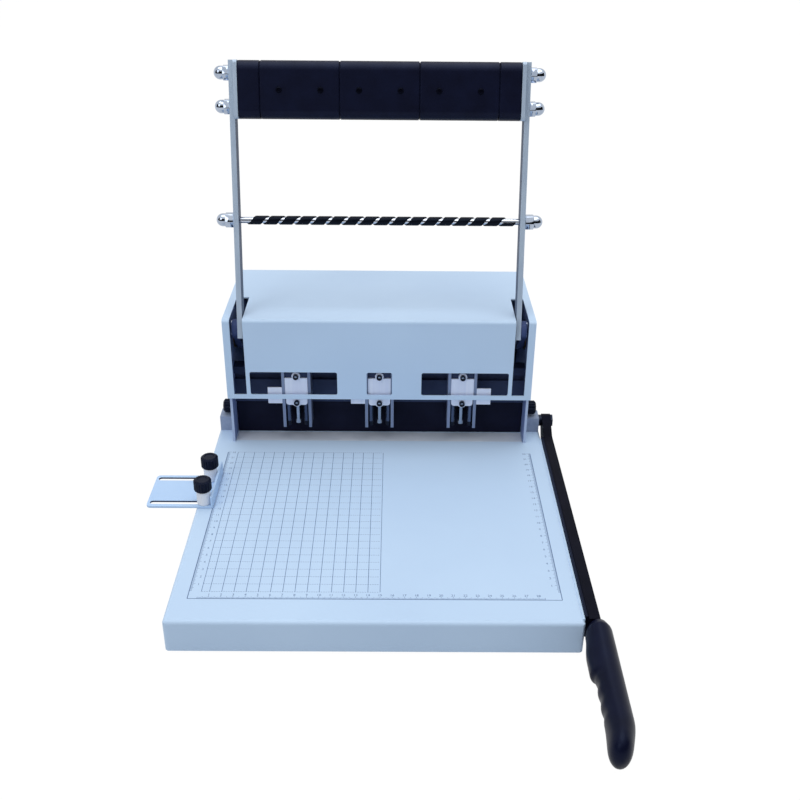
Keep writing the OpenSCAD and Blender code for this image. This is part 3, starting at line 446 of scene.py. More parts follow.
BLACK_BAND = finish("wound_black", (13, 17, 27), (7, 10, 18), gloss=(0.26, 0.4), patch=150, grain=1800,
                    bump=0.00001, sheen=0.12, tint=COOL)
print("materials so far:", len(bpy.data.materials))

# %% [markdown]
# Rubber, nylon and the rest
# The small parts have finishes of their own: oiled bronze bushes, dull rubber feet, a pale nylon cutting
# strip, white sleeves, the ink of the printed rulers and the steel of the springs. Some of them hardly
# show here. They are given finishes all the same, because they come into view when the machine moves or
# is turned over.

# %% Rubber, nylon and the rest
BRONZE = finish("oiled_bronze", (86, 72, 62), (66, 56, 50), gloss=(0.4, 0.55), patch=300, grain=3000,
                bump=0.00002, metal=0.6)
RUBBER = finish("foot_rubber", (30, 31, 36), (22, 23, 28), gloss=(0.7, 0.85), patch=80, grain=1800,
                bump=0.00005, sheen=0.2)
NYLON = finish("cutting_nylon", (206, 214, 228), (192, 202, 218), gloss=(0.4, 0.52), patch=60, grain=1400,
               bump=0.00002)
WHITE_SLEEVE = finish("white_sleeve", (232, 235, 242), (222, 226, 236), gloss=(0.36, 0.48), patch=90,
                      grain=1500, bump=0.00002, sheen=0.3)
PRINT_INK = finish("print_ink", (96, 118, 156), (82, 104, 144), gloss=(0.5, 0.6), patch=300, grain=2000,
                   bump=0.000005, sheen=0.2)
SPRING_STEEL = finish("spring_steel", (120, 126, 140), (96, 102, 116), gloss=(0.25, 0.38), patch=200,
                      grain=2000, bump=0.00001, metal=0.9)
print("materials so far:", len(bpy.data.materials))

# %% [markdown]
# Making a piece
# Whatever is modelled here has to move with the machine. A new piece takes its body from the node that
# it stands for or sits on. The body is looked up in the record, so that it is not written twice.
# Its faces are shaded smooth, and only the edges that turn by more than a set angle stay crisp.

# %% Making a piece
SHARP = math.radians(32)


def span(node):
    """A node's lowest corner, highest corner and middle."""
    low, high = (Vector(corner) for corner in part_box(node))
    return low, high, (low + high) / 2


def body_of_node(node):
    return next(b for b, members in frame["record"]["behaviour"]["bodies"].items() if node in members)


def show(name, bm, material, like):
    """Makes a piece out of a bmesh; it rides on the body of a node that it belongs with."""
    mesh = bpy.data.meshes.new(name)
    bm.to_mesh(mesh)
    bm.free()
    mesh.shade_smooth()
    mesh.set_sharp_from_angle(angle=SHARP)
    mesh.materials.append(material)
    piece = bpy.data.objects.new(name, mesh)
    scene.collection.objects.link(piece)
    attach(piece, body_of_node(like))
    return piece


# %% [markdown]
# Softened pieces
# Sheet, bar and moulded plastic never have a mathematically sharp edge, and it is the thin bright line
# along an edge that makes a render believable. A Bevel modifier could round a solid as it is, but a
# solid comes as loose triangles, which have no edges in common. So each one that shows is copied, its
# triangles are welded and joined into whole faces, and the edges that turn sharply get a narrow rounded
# bevel. The table gives its width in millimetres. Turned and hidden parts, such as the rods and the
# drive's cranks, keep their own shape and only get a finish.

# %% Softened pieces
FLAT = math.radians(0.6)
WELD = 0.002 * MM
UNITS = ("left", "middle", "right")
SIDES = ("left", "right")
ROUNDED = (
    ("base_tray", ENAMEL, 0.5),
    ("hood", ENAMEL, 0.35),
    ("paper_stop", DARK_PAINT, 0.4),
    ("head_brackets", BLOCK_GREY, 0.8),
    ("lower_blade", ENAMEL, 0.2),
    ("cutting_strip", NYLON, 0.3),
    ("feet", RUBBER, 0.7),
    ("guide_sleeves", WHITE_SLEEVE, 0.6),
    ("grip_plates", SAWN_EDGE, 0.3),
    ("trim_bar", BLACK_ARM, 0.9),
    ("trim_blade", BLUED_EDGE, 0.15),
    ("trim_screws", BLACK_OXIDE, 0.5),
    ("trim_pivot", BLACK_OXIDE, 0.5),
    ("frame_screws", ZINC, 0.4),
    ("foot_screws", ZINC, 0.3),
    ("unit_rail", INNER_NAVY, 0.3),
    ("rear_beam", INNER_NAVY, 0.4),
    ("pressure_bar", INNER_NAVY, 0.3),
    ("base_bottom", FRAME_GREY, 0.2),
    ("crank_arm_left", CRANK_NAVY_PAINTED_LIGHT, 0.4),
    ("crank_arm_right", CRANK_NAVY_PAINTED_LIGHT, 0.4),
    ("face_plate_left", BRIGHT_PLATE, 0.25),
    ("face_plate_middle", BRIGHT_PLATE, 0.25),
    ("face_plate_right", BRIGHT_PLATE, 0.25),
)
PAINTED_ONLY = (
    ("punch_pin_left", HARD_STEEL),
    ("punch_pin_middle", HARD_STEEL),
    ("punch_pin_right", HARD_STEEL),
    ("drive_shaft", GROUND_STEEL),
    ("drive_cranks", INNER_NAVY),
    ("crank_bolts", ZINC),
    ("grip_rods", POLISHED),
    ("spacer_rod", POLISHED),
    ("guide_posts", POLISHED),
    ("shaft_bushes", BRONZE),
    ("guide_studs", ZINC),
)


def softened(node, material, width, segments=2, cuts=(), where=None):
    """A welded copy of a node with rounded edges, which takes the node's place."""
    bm = bmesh.new()
    bm.from_mesh(frame["nodes"][node].data)
    bmesh.ops.remove_doubles(bm, verts=bm.verts, dist=WELD)
    bmesh.ops.dissolve_limit(bm, angle_limit=FLAT, verts=bm.verts, edges=bm.edges)
    sharp = [e for e in bm.edges if len(e.link_faces) == 2 and e.calc_face_angle() > SHARP]
    if where:
        sharp = [e for e in sharp if where((e.verts[0].co + e.verts[1].co) / 2)]
    bmesh.ops.bevel(bm, geom=sharp, offset=width * MM, offset_type="OFFSET", segments=segments,
                    profile=0.5, affect="EDGES", clamp_overlap=True, material=-1)
    for height in cuts:
        bmesh.ops.bisect_plane(bm, geom=bm.verts[:] + bm.edges[:] + bm.faces[:], dist=WELD,
                               plane_co=(0, 0, height), plane_no=(0, 0, 1))
    piece = show("soft_" + node, bm, material, node)
    weigh = piece.modifiers.new("even_shading", "WEIGHTED_NORMAL")
    weigh.keep_sharp = True
    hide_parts(node)
    return piece


def painted(node, material):
    """A node whose own shape stays, with a better finish."""
    mesh = frame["nodes"][node].data
    mesh.materials.clear()
    mesh.materials.append(material)


for node, material, width in ROUNDED:
    softened(node, material, width)
for node, material in PAINTED_ONLY:
    painted(node, material)

# %% [markdown]
# The handle's grip
# The grip is a row of moulded lengths pushed on to two rods, so a groove runs round it at each joint.
# The groove is what the eye counts. It could be cut into one long block, but the lengths are separate
# pieces, so only the rims at the two ends of each are rolled, with a wider bevel than elsewhere. A thin
# black washer fills the bottom of each groove, or daylight would show through.

# %% The handle's grip
ROLL_MM, ROLL_STEPS, RIM_REACH = 1.5, 4, 0.1 * MM
WASHER_MM, WASHER_PART = 2.4, 0.93
GRIP_PARTS = ("grip_left", "grip_middle", "grip_right")


def at_ends(node, reach):
    """A test for points near a node's left or right end."""
    low, high, _ = span(node)
    return lambda p: p.x < low.x + reach or p.x > high.x - reach


def groove_washers():
    """Slim copies of a grip length's own section, a little smaller, in the four grooves."""
    low, high, mid = span("grip_middle")
    slim = Vector((WASHER_MM * MM / (high.x - low.x), WASHER_PART, WASHER_PART))
    whole = bmesh.new()
    for x in (span("grip_left")[0].x, low.x, high.x, span("grip_right")[1].x):
        washer = frame["nodes"]["grip_middle"].data.copy()
        washer.transform(Matrix.Translation((x, mid.y, mid.z)) @ Matrix.Diagonal(slim).to_4x4()
                         @ Matrix.Translation(-mid))
        whole.from_mesh(washer)
        bpy.data.meshes.remove(washer)
    bmesh.ops.remove_doubles(whole, verts=whole.verts, dist=WELD)
    show("groove_washers", whole, BLACK_GRIP, "grip_middle")


for node in GRIP_PARTS:
    softened(node, BLACK_GRIP, ROLL_MM, ROLL_STEPS, where=at_ends(node, RIM_REACH))
softened("grip_caps", BLACK_GRIP, ROLL_MM, ROLL_STEPS)
groove_washers()
print("grip lengths:", len(GRIP_PARTS) + 2)

# %% [markdown]
# Screws with sockets
# The grip's screws have rounded heads, which catch a small spot of light. A socket could be cut with a
# Boolean modifier, but pushing faces keeps the mesh clean. A short drum is made, and its top is pushed
# up and narrowed a few times to a dome, then sunk again to a socket. Each step is a rise, as a share of
# the head's height, and a narrowing. The heads point the way that the grip faces.

# %% Screws with sockets
HEAD_ACROSS, HEAD_HIGH, HEAD_OUT, HEAD_SIDES = 5.4 * MM, 1.7 * MM, 0.7 * MM, 28
SCREW_PITCH = 38 * MM
GRIP_ROD = 8 * MM
DRUM_PART = 0.4
DOME_STEPS = ((0.3, 0.9), (0.2, 0.84), (0.1, 0.76), (-0.5, 0.86))


def push_end(bm, face, out, narrow):
    """Extrudes an end face along z and scales it about the axis; gives the new end."""
    grown = bmesh.ops.extrude_face_region(bm, geom=[face])["geom"]
    verts = [g for g in grown if isinstance(g, bmesh.types.BMVert)]
    end = next(g for g in grown if isinstance(g, bmesh.types.BMFace))
    bmesh.ops.translate(bm, vec=(0, 0, out), verts=verts)
    bmesh.ops.scale(bm, vec=(narrow, narrow, 1), verts=verts)
    bmesh.ops.delete(bm, geom=[face], context="FACES_ONLY")
    return end


def screw_head():
    """A domed head that stands on the plane z = 0, as a mesh to copy."""
    bm = bmesh.new()
    bmesh.ops.create_cone(bm, cap_ends=True, segments=HEAD_SIDES, radius1=HEAD_ACROSS / 2,
                          radius2=HEAD_ACROSS / 2, depth=DRUM_PART * HEAD_HIGH)
    bmesh.ops.translate(bm, vec=(0, 0, DRUM_PART * HEAD_HIGH / 2), verts=bm.verts)
    top = max(bm.faces, key=lambda f: f.calc_center_median().z)
    for rise, narrow in DOME_STEPS:
        top = push_end(bm, top, rise * HEAD_HIGH, narrow)
    bmesh.ops.recalc_face_normals(bm, faces=bm.faces)
    mesh = bpy.data.meshes.new("screw_head")
    bm.to_mesh(mesh)
    bm.free()
    return mesh


def grip_screws():
    rods = span("grip_rods")[1] - span("grip_rods")[0]
    lean = math.atan2(rods.y - GRIP_ROD, rods.z - GRIP_ROD)
    forward = Matrix.Rotation(math.radians(90) - lean, 4, "X")
    mid = span("grip_screws")[2]
    bm = bmesh.new()
    for node in GRIP_PARTS:
        for way in (-1, 1):
            x = span(node)[2].x + way * SCREW_PITCH / 2
            head = screw_head()
            place = Matrix.Translation((x, mid.y, mid.z)) @ forward
            head.transform(place @ Matrix.Translation((0, 0, HEAD_OUT)))
            bm.from_mesh(head)
            bpy.data.meshes.remove(head)
    piece = show("socket_screws", bm, BLACK_ARM, "grip_screws")
    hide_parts("grip_screws")
    print("grip screws:", 2 * len(GRIP_PARTS))


grip_screws()

# %% [markdown]
# Pieces with two finishes
# A side plate is pale where it shows outside and along its front edge, and its faces towards the
# mechanism get a navy of their own as painted shade. The handle's arms are flat bar: their inner sides
# get a dull dark finish as painted shade and reflection, and their front edges a paler, duller one as
# painted light. The walls of the side guide's slots get the dark inner navy as painted shade. A punch
# unit is pale steel at its cheeks, with blue-black posts whose tips are dipped in black rubber, and its
# black screws get bright zinc at the bottom of their sockets as a painted glint. Each colour could be an
# object of its own, but then a piece would come apart at every border. So the faces are picked by where
# they lie and which way they face, and given a second finish.

# %% Pieces with two finishes
TIP_TOP, ABOVE_ALL = 52.5 * MM, 1
CHEEK = 2.95 * MM
RIM = 2 * MM
SOCKET_FROM, SOCKET_TO = 1 * MM, 3 * MM
SIDEWAYS, FORWARD, UPRIGHT, HEAD_ON = 0.8, -0.6, 0.3, -0.9


def tint(piece, material, chosen):
    """Gives another finish to the faces of a piece that a test picks out."""
    mesh = piece.data
    mesh.materials.append(material)
    slot = len(mesh.materials) - 1
    for face in mesh.polygons:
        if chosen(face.center, face.normal):
            face.material_index = slot


def faces_inwards(centre, normal):
    return normal.x * centre.x < 0 and abs(normal.x) > SIDEWAYS


def faces_front(centre, normal):
    return normal.y < FORWARD


def in_slots(node, rim):
    """A test for the upright walls of a sheet's slots, away from the sheet's own rim."""
    low, high, _ = span(node)
    return lambda c, n: (abs(n.z) < UPRIGHT and low.x + rim < c.x < high.x - 2 * rim
                         and low.y + rim < c.y < high.y - rim)


def between_cheeks(node, low, high):
    """A test for faces of a unit that lie between its cheeks, within two heights."""
    left, right, _ = span(node)
    return lambda c, n: low < c.z < high and left.x + CHEEK < c.x < right.x - CHEEK


for end in SIDES:
    # A side plate's faces towards the mechanism get painted shade in navy.
    tint(softened("side_plate_" + end, FRAME_GREY, 0.3), PAINTED_SHADE_NAVY, faces_inwards)
    arm = softened("handle_arm_" + end, BRUSHED_ARM, 0.5)
    # An arm's inner sides get painted shade and reflection, and its front edges a paler finish as painted
    # light.
    tint(arm, PAINTED_SHADE_SIDE, faces_inwards)
    tint(arm, SAWN_EDGE, faces_front)
# The walls of the guide's slots get the inner navy as painted shade.
tint(softened("side_guide", GUIDE_ENAMEL, 0.4), INNER_NAVY, in_slots("side_guide", RIM))
for end in UNITS:
    frame_node = "punch_frame_" + end
    unit = softened(frame_node, CHEEK_GREY, 0.3, cuts=(TIP_TOP,))
    plate_low = span("face_plate_" + end)[0].z
    tint(unit, INNER_NAVY, between_cheeks(frame_node, plate_low, ABOVE_ALL))
    tint(unit, POST_BLUE, between_cheeks(frame_node, TIP_TOP, plate_low))
    tint(unit, BLACK_OXIDE, between_cheeks(frame_node, 0, TIP_TOP))
    front = span("face_screws_" + end)[0].y
    screw = softened("face_screws_" + end, BLACK_OXIDE, 0.5, 3, where=lambda p: p.y < front + WELD)
    # The bottom of each socket gets bright zinc: a painted glint.
    tint(screw, ZINC, lambda c, n: n.y < HEAD_ON and front + SOCKET_FROM < c.y < front + SOCKET_TO)
print("two tone pieces:", 2 * len(SIDES) + 2 * len(UNITS) + 1)

# %% [markdown]
# Domed nuts
# The rods end in domed nuts. Prism and dome could be joined with a Boolean modifier, but where two
# closed shapes overlap, the seam looks the same without it. Each nut starts as a six sided prism with
# its rims chamfered, and a ball drawn out into a capsule makes the dome that grows out of it. A nut is
# made along an axis and then set on its rod end, pointing outwards on both sides.

# %% Domed nuts
NUT_ACROSS_FLATS, NUT_CHAMFER = 13 * MM, 0.7 * MM
DOME_R, DOME_SUNK, DOME_MERIDIANS, DOME_RINGS = 6.2 * MM, 1 * MM, 40, 24
ROD_NUT_SIDES, GRIP_NUT_SIDES = 8.6 * MM, 6 * MM


def add_nut(bm, place, sides, total):
    """A nut that stands on the plane z = 0, moved to its place by a matrix."""
    corner = NUT_ACROSS_FLATS / 2 / math.cos(math.radians(30))
    prism = bmesh.ops.create_cone(bm, cap_ends=True, segments=6, radius1=corner, radius2=corner,
                                  depth=sides)["verts"]
    bmesh.ops.translate(bm, vec=(0, 0, sides / 2), verts=prism)
    rims = {e for v in prism for e in v.link_edges}
    done = bmesh.ops.bevel(bm, geom=list(rims), offset=NUT_CHAMFER, offset_type="OFFSET", segments=2,
                           profile=0.5, affect="EDGES", clamp_overlap=True, material=-1)["faces"]
    prism = {v for f in done for v in f.verts}
    ball = bmesh.ops.create_uvsphere(bm, u_segments=DOME_MERIDIANS, v_segments=DOME_RINGS,
                                     radius=DOME_R)["verts"]
    bmesh.ops.translate(bm, vec=(0, 0, total - DOME_R), verts=ball)
    lower = [v for v in ball if v.co.z < total - DOME_R - WELD]
    bmesh.ops.translate(bm, vec=(0, 0, -(total - 2 * DOME_R - DOME_SUNK)), verts=lower)
    bmesh.ops.transform(bm, matrix=place, verts=list(prism) + ball)


def domed_nuts():
    bm = bmesh.new()
    arm_out = span("handle_arm_right")[1].x
    nuts_out = span("cap_nuts")[1].x
    rod = span("spacer_rod")[2]
    low, high, _ = span("grip_rods")
    rod_r = GRIP_ROD / 2
    more = ROD_NUT_SIDES - GRIP_NUT_SIDES
    spots = [(rod.y, rod.z, ROD_NUT_SIDES, nuts_out - arm_out)]
    for y, z in ((low.y + rod_r, low.z + rod_r), (high.y - rod_r, high.z - rod_r)):
        spots.append((y, z, GRIP_NUT_SIDES, nuts_out - arm_out - more))
    for y, z, sides, total in spots:
        for way in (-1, 1):
            turn = Matrix.Rotation(way * math.radians(90), 4, "Y")
            add_nut(bm, Matrix.Translation((way * arm_out, y, z)) @ turn, sides, total)
    piece = show("domed_nuts", bm, CHROME, "cap_nuts")
    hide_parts("cap_nuts")
    print("nuts:", 2 * len(spots))


domed_nuts()

# %% [markdown]
# The wound band
# A black band is wound round the spacer rod with a gap between its turns. A curve with a round bevel
# would make a cord, but the band is flat, with rounded outer corners. So a small strip is spun round the
# rod, and each step also moves it along, which makes a helix. It leans the way that it does on the real
# rod, and both ends are closed.

# %% The wound band
WRAP_TURNS, WRAP_COVER, WRAP_STEPS = 16.5, 0.78, 32
WRAP_PLAY, WRAP_ROUND = 0.05 * MM, 0.6


def close_up(bm):
    """Fills the open ends and turns every face outwards."""
    rims = [e for e in bm.edges if e.is_boundary]
    bmesh.ops.holes_fill(bm, edges=rims, sides=0)
    bmesh.ops.recalc_face_normals(bm, faces=bm.faces)


def wound_band():
    low, high, _ = span("rod_wrap")
    rod_low, rod_high, rod = span("spacer_rod")
    inner = (rod_high.z - rod_low.z) / 2 + WRAP_PLAY
    wall = (high.z - low.z) / 2 - inner
    pitch = (high.x - low.x) / (WRAP_TURNS + WRAP_COVER)
    bm = bmesh.new()
    bmesh.ops.create_grid(bm, x_segments=1, y_segments=1, size=0.5)
    bmesh.ops.scale(bm, vec=(WRAP_COVER * pitch, wall, 1), verts=bm.verts)
    outer = [v for v in bm.verts if v.co.y > 0]
    bmesh.ops.bevel(bm, geom=outer, offset=WRAP_ROUND * wall, offset_type="OFFSET", segments=4,
                    profile=0.5, affect="VERTICES", clamp_overlap=True, material=-1)
    bmesh.ops.translate(bm, vec=(low.x + WRAP_COVER * pitch / 2, inner + wall / 2, 0), verts=bm.verts)
    bmesh.ops.delete(bm, geom=bm.faces[:], context="FACES_ONLY")
    bmesh.ops.spin(bm, geom=bm.verts[:] + bm.edges[:], cent=(0, 0, 0), axis=(-1, 0, 0),
                   dvec=(pitch / WRAP_STEPS, 0, 0), angle=2 * math.pi * WRAP_TURNS,
                   steps=round(WRAP_STEPS * WRAP_TURNS), use_merge=False, use_duplicate=False)
    bmesh.ops.translate(bm, vec=(0, rod.y, rod.z), verts=bm.verts)
    close_up(bm)
    piece = show("wound_band", bm, BLACK_BAND, "rod_wrap")
    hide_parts("rod_wrap")
    print("turns:", WRAP_TURNS, "pitch mm:", round(pitch / MM, 2))


wound_band()

# %% [markdown]
# The trimmer's grip
# The trimmer ends in a contoured grip: a collar at the bar, a guard on the inner side, three shallow
# finger hollows and a blunt nose, all bent gently down and outwards. It could be sculpted, but then its
# sizes could no longer be read or changed. Here a flat grid is rolled into a tube, its seam is welded,
# and every point is moved by the same few rules, so the shape stays smooth.

# %% The trimmer's grip
GRIP_RINGS, GRIP_SIDES, GRIP_WELD = 90, 56, 0.01 * MM
GRIP_WIDE, GRIP_TALL = 10.8 * MM, 14.5 * MM
GRIP_TAPER, GRIP_WAIST, GRIP_BOW = 2 * MM, 3.2 * MM, 3.9 * MM
GRIP_DROOP, GRIP_CURVE, GRIP_LIFT, GRIP_LOW = 9 * MM, 1.4, 1 * MM, 0.5 * MM
COLLAR, GUARD_FULL, GUARD_END, FINGERS_FROM, FINGERS_TO, NOSE = 0.05, 0.26, 0.37, 0.41, 0.74, 0.88
COLLAR_PART, FINGER_DENT, GUARD_PART, FINGER_COUNT = 0.78, 0.08, 0.28, 3
BLUNT, TIP = 3, 1.0005
FINGER_SIDE = math.radians(195)


def swell(t, start, stop):
    """Rises smoothly from 0 to 1 between two shares of the length."""
    return 0.5 - 0.5 * math.cos(math.pi * max(0.0, min(1.0, (t - start) / (stop - start))))


def end_round(t):
    """How full the grip is near its collar and its nose."""
    if t > NOSE:
        return math.sqrt(max(0.0, 1 - ((t - NOSE) / (TIP - NOSE)) ** BLUNT))
    return COLLAR_PART + (1 - COLLAR_PART) * min(1.0, t / COLLAR)


def finger_hollow(t):
    share = (t - FINGERS_FROM) / (FINGERS_TO - FINGERS_FROM)
    return 0.5 - 0.5 * math.cos(2 * math.pi * FINGER_COUNT * share) if 0 < share < 1 else 0.0


def grip_place(t, turn, start, length):
    """A point of the grip at a share of its length and an angle round it."""
    inner = max(0.0, math.cos(turn - FINGER_SIDE)) ** 2
    guard = swell(t, COLLAR, GUARD_FULL) - swell(t, GUARD_END, FINGERS_FROM)
    reach = end_round(t) * (1 + (GUARD_PART * guard - FINGER_DENT * finger_hollow(t)) * inner)
    wide = GRIP_WIDE - GRIP_TAPER * swell(t, FINGERS_TO, 1)
    tall = GRIP_TALL - GRIP_WAIST * math.sin(math.pi * min(1.0, t / NOSE))
    aside = GRIP_BOW * (1 - swell(t, FINGERS_TO, 1))
    drop = GRIP_LIFT - GRIP_DROOP * t ** GRIP_CURVE
    ring = Vector((reach * wide * math.cos(turn), 0, reach * tall * math.sin(turn)))
    return start + Vector((aside, -t * length, drop)) + ring


def trimmer_grip():
    low, high, _ = span("trim_grip")
    blade_low, _, blade = span("trim_blade")
    mid_x = (blade_low.x + span("trim_bar")[1].x) / 2
    start = Vector((mid_x, high.y, blade.z - GRIP_LOW))
    bm = bmesh.new()
    bmesh.ops.create_grid(bm, x_segments=GRIP_RINGS, y_segments=GRIP_SIDES, size=0.5)
    for v in bm.verts:
        v.co = grip_place(v.co.x + 0.5, 2 * math.pi * (v.co.y + 0.5), start, high.y - low.y)
    bmesh.ops.remove_doubles(bm, verts=bm.verts, dist=GRIP_WELD)
    close_up(bm)
    piece = show("trimmer_grip", bm, SOFT_GRIP, "trim_grip")
    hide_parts("trim_grip")
    print("trimmer grip mm:", [round(v / MM, 1) for v in high - low])


trimmer_grip()

# %% [markdown]
# Ribbed knobs
# The guide's two clamp caps and the paper stop's two knobs are turned by hand, so their rims are ribbed.
# Cutting the grooves away would take a Boolean for each of them. Instead, a drum with four corners to
# each rib has two of the four drawn in. Its ends are pushed out and narrowed to a chamfer, then sunk in
# the middle to a shallow dish.

# %% Ribbed knobs
RIM_SLOPE, DISH_PART, DISH_WALL = 1.2, 0.72, 0.94
DISH_DEEP = 0.5 * MM
CAP_RIBS, CAP_GROOVE, CAP_CHAMFER = 20, 0.45 * MM, 1.4 * MM
STOP_RIBS, STOP_GROOVE, STOP_CHAMFER = 14, 0.7 * MM, 1.6 * MM


def ribbed_knob(node, along, ribs, groove, chamfer):
    low, high, mid = span(node)
    size = high - low
    length, radius = (size.x, size.z / 2) if along == "X" else (size.z, size.x / 2)
    bm = bmesh.new()
    bmesh.ops.create_cone(bm, cap_ends=True, segments=4 * ribs, radius1=radius, radius2=radius,
                          depth=length - 2 * chamfer)
    for v in bm.verts:
        corner = round(math.atan2(v.co.y, v.co.x) / (math.pi / 2 / ribs)) % 4
        if corner in (2, 3):
            v.co.xy *= 1 - groove / radius
    for face in [f for f in bm.faces if len(f.verts) > 4]:
        way = math.copysign(1, face.calc_center_median().z)
        face = push_end(bm, face, way * chamfer, 1 - RIM_SLOPE * chamfer / radius)
        face = push_end(bm, face, 0, DISH_PART)
        push_end(bm, face, -way * DISH_DEEP, DISH_WALL)
    bmesh.ops.recalc_face_normals(bm, faces=bm.faces)
    turn = Matrix.Rotation(math.radians(90), 4, "Y") if along == "X" else Matrix()
    bmesh.ops.transform(bm, matrix=Matrix.Translation(mid) @ turn, verts=bm.verts)
    piece = show("ribbed_" + node, bm, BLACK_KNOB, node)
    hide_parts(node)
    print(node, "ribs:", ribs, "mm:", [round(v / MM, 1) for v in size])


for end in ("front", "rear"):
    ribbed_knob("guide_cap_" + end, "Z", CAP_RIBS, CAP_GROOVE, CAP_CHAMFER)
for end in SIDES:
    ribbed_knob("stop_knob_" + end, "X", STOP_RIBS, STOP_GROOVE, STOP_CHAMFER)

# %% [markdown]
# The return springs
# Two coil springs lift the pressure bar after each stroke. A curve could be bevelled into wire, but a
# spin gives a mesh at once, and its ends are easily closed. A ring of wire is spun about each guide post
# with a small rise at every step. The springs shorten as the bar comes down, so the piece is squashed
# towards the rail.

# %% The return springs
SPRING_TURNS, SPRING_STEPS = 7, 28
WIRE_R, WIRE_SIDES = 0.75 * MM, 10


def return_springs():
    low, high, mid = span("return_springs")
    coil_r = (high.y - low.y) / 2 - WIRE_R
    rise = (high.z - low.z - 2 * WIRE_R) / (SPRING_TURNS * SPRING_STEPS)
    post_x = high.x - coil_r - WIRE_R
    stood = Matrix.Rotation(math.radians(90), 3, "X")
    whole = bmesh.new()
    for way in (-1, 1):
        bm = bmesh.new()
        bmesh.ops.create_circle(bm, cap_ends=False, segments=WIRE_SIDES, radius=WIRE_R)
        bmesh.ops.rotate(bm, cent=(0, 0, 0), matrix=stood, verts=bm.verts)
        bmesh.ops.translate(bm, vec=(coil_r, 0, low.z + WIRE_R), verts=bm.verts)
        bmesh.ops.spin(bm, geom=bm.verts[:] + bm.edges[:], cent=(0, 0, 0), axis=(0, 0, 1),
                       dvec=(0, 0, rise), angle=2 * math.pi * SPRING_TURNS,
                       steps=SPRING_TURNS * SPRING_STEPS, use_merge=False, use_duplicate=False)
        bmesh.ops.translate(bm, vec=(way * post_x, mid.y, 0), verts=bm.verts)
        close_up(bm)
        coil = bpy.data.meshes.new("coil")
        bm.to_mesh(coil)
        bm.free()
        whole.from_mesh(coil)
        bpy.data.meshes.remove(coil)
    piece = show("coil_springs", whole, SPRING_STEEL, "return_springs")
    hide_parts("return_springs")
    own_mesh(piece)
    print("spring turns:", SPRING_TURNS)


return_springs()

# %% [markdown]
# The ruled base
# The base is printed with a ruler along three edges and squares of a centimetre over its left half, so
# that sheets can be lined up. A picture laid over the base would blur up close, so each line is
# modelled. Print has almost no thickness: a line is a very flat bar that stands three hundredths of a
# millimetre proud, and the numbers are plain figures raised by the same amount. The places and widths of
# the print are in millimetres.

# %% The ruled base
INK = 0.03 * MM
RULE_LEFT, RULE_RIGHT, RULE_FRONT, RULE_REAR = -152.6, 153.0, -196.5, 32.5
COLUMN_LEFT, COLUMN_RIGHT = -142.5, 143.0
SQUARE, SQUARE_LEFT, SQUARE_FRONT = 10, -135.8, -187.5
SQUARES_ACROSS, SQUARES_DEEP = 14, 22
FRAME_LINE, FULL_LINE, DASH_LINE, TICK = 0.32, 0.22, 0.16, 0.15
DASH, DASH_STEP = 1.3, 2
LONG_TICK, HALF_TICK, SHORT_TICK = 3.6, 2.8, 2.0
FIGURE_MM, FIGURE_IN, FIGURE_UP, LAST_FIGURE = 3.6, 1.2, 4, 28
BASE_TOP = span("base_tray")[1].z


def bar(bm, x0, y0, x1, y1):
    """A flat printed bar between two corners in millimetres."""
    verts = bmesh.ops.create_cube(bm, size=1)["verts"]
    bmesh.ops.scale(bm, vec=((x1 - x0) * MM, (y1 - y0) * MM, 2 * INK), verts=verts)
    bmesh.ops.translate(bm, vec=((x0 + x1) / 2 * MM, (y0 + y1) / 2 * MM, BASE_TOP), verts=verts)


def tick_length(mm):
    """Long ticks at whole centimetres, middling ones at halves, short ones between."""
    if mm % SQUARE == 0:
        return LONG_TICK
    return HALF_TICK if 2 * mm % SQUARE == 0 else SHORT_TICK


def ruler_lines():
    bm = bmesh.new()
    for x in (RULE_LEFT, RULE_RIGHT):
        bar(bm, x - FRAME_LINE, RULE_FRONT, x + FRAME_LINE, RULE_REAR)
    bar(bm, RULE_LEFT, RULE_FRONT - FRAME_LINE, RULE_RIGHT, RULE_FRONT + FRAME_LINE)
    bar(bm, COLUMN_LEFT - FULL_LINE, SQUARE_FRONT, COLUMN_LEFT + FULL_LINE, RULE_REAR)
    for mm in range(1, int(RULE_REAR - SQUARE_FRONT) + 1):
        y, reach = SQUARE_FRONT + mm, tick_length(mm)
        bar(bm, RULE_LEFT, y - TICK, RULE_LEFT + reach, y + TICK)
        bar(bm, RULE_RIGHT - reach, y - TICK, RULE_RIGHT, y + TICK)
    for mm in range(1, int(COLUMN_RIGHT - COLUMN_LEFT) + 1):
        x = SQUARE_LEFT - SQUARE + mm
        bar(bm, x - TICK, RULE_FRONT, x + TICK, RULE_FRONT + tick_length(mm))
    return bm


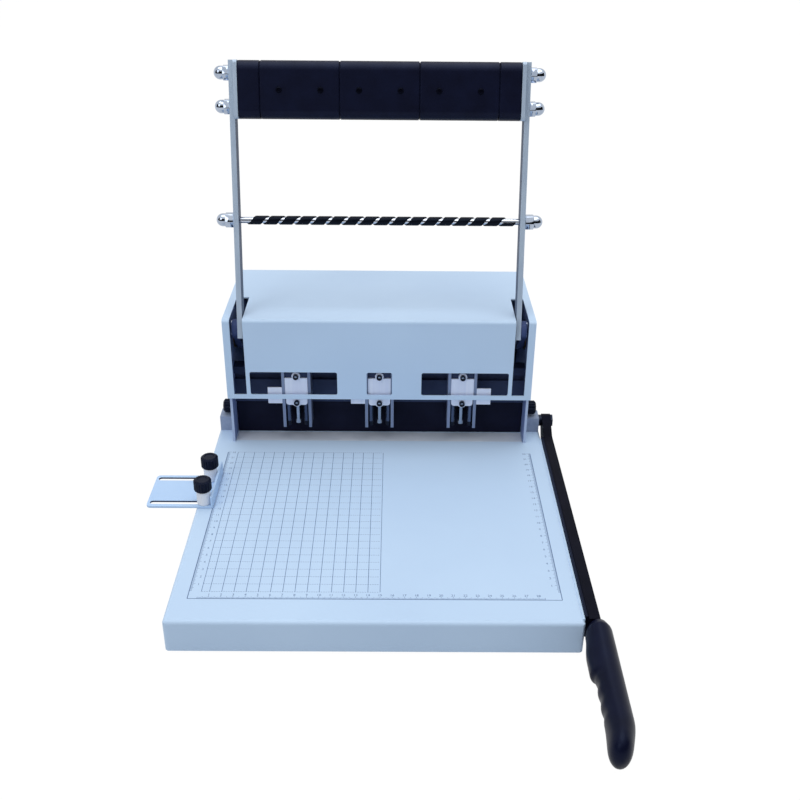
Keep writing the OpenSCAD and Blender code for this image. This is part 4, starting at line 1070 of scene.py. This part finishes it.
def square_lines():
    bm = bmesh.new()
    right = SQUARE_LEFT + SQUARE * SQUARES_ACROSS
    rear = SQUARE_FRONT + SQUARE * SQUARES_DEEP
    dashes = int((right - COLUMN_LEFT) / DASH_STEP)
    for i in range(SQUARES_ACROSS + 1):
        x = SQUARE_LEFT + SQUARE * i
        bar(bm, x - FULL_LINE, SQUARE_FRONT, x + FULL_LINE, rear)
    for j in range(SQUARES_DEEP + 1):
        y = SQUARE_FRONT + SQUARE * j
        for k in range(dashes):
            x = COLUMN_LEFT + DASH_STEP * k
            bar(bm, x, y - DASH_LINE, x + DASH, y + DASH_LINE)
    return bm


def ruler_figures():
    """All the figures as one mesh: each is made as text, turned to a mesh and then moved to its place."""
    front = RULE_FRONT + FIGURE_UP
    left = (RULE_LEFT + COLUMN_LEFT) / 2 + FIGURE_IN
    right = (RULE_RIGHT + COLUMN_RIGHT) / 2 - FIGURE_IN
    spots = [(i, SQUARE_LEFT - SQUARE + SQUARE * i, front) for i in range(1, LAST_FIGURE + 1)]
    for i in range(1, SQUARES_DEEP + 1):
        y = SQUARE_FRONT + SQUARE * i - FIGURE_MM / 2
        spots += [(i, left, y), (i, right, y)]
    holders = []
    for number, x, y in spots:
        text = bpy.data.curves.new("figure", "FONT")
        text.body = str(number)
        text.size = FIGURE_MM * MM
        text.align_x = "CENTER"
        text.extrude = INK
        text.resolution_u = 3
        holder = bpy.data.objects.new("figure", text)
        scene.collection.objects.link(holder)
        holders.append((holder, x, y))
    bpy.context.view_layer.update()
    ready = bpy.context.evaluated_depsgraph_get()
    bm = bmesh.new()
    for holder, x, y in holders:
        mesh = bpy.data.meshes.new_from_object(holder.evaluated_get(ready))
        mesh.transform(Matrix.Translation((x * MM, y * MM, BASE_TOP)))
        bm.from_mesh(mesh)
        bpy.data.meshes.remove(mesh)
    for holder, _, _ in holders:
        text = holder.data
        bpy.data.objects.remove(holder)
        bpy.data.curves.remove(text)
    bmesh.ops.remove_doubles(bm, verts=bm.verts, dist=WELD)
    return bm


PRINTED = (
    ("ruler_lines", ruler_lines),
    ("square_lines", square_lines),
    ("ruler_figures", ruler_figures),
)
for name, drawn_by in PRINTED:
    drawn = drawn_by()
    print(name, "faces:", len(drawn.faces))
    show(name, drawn, PRINT_INK, "base_tray")
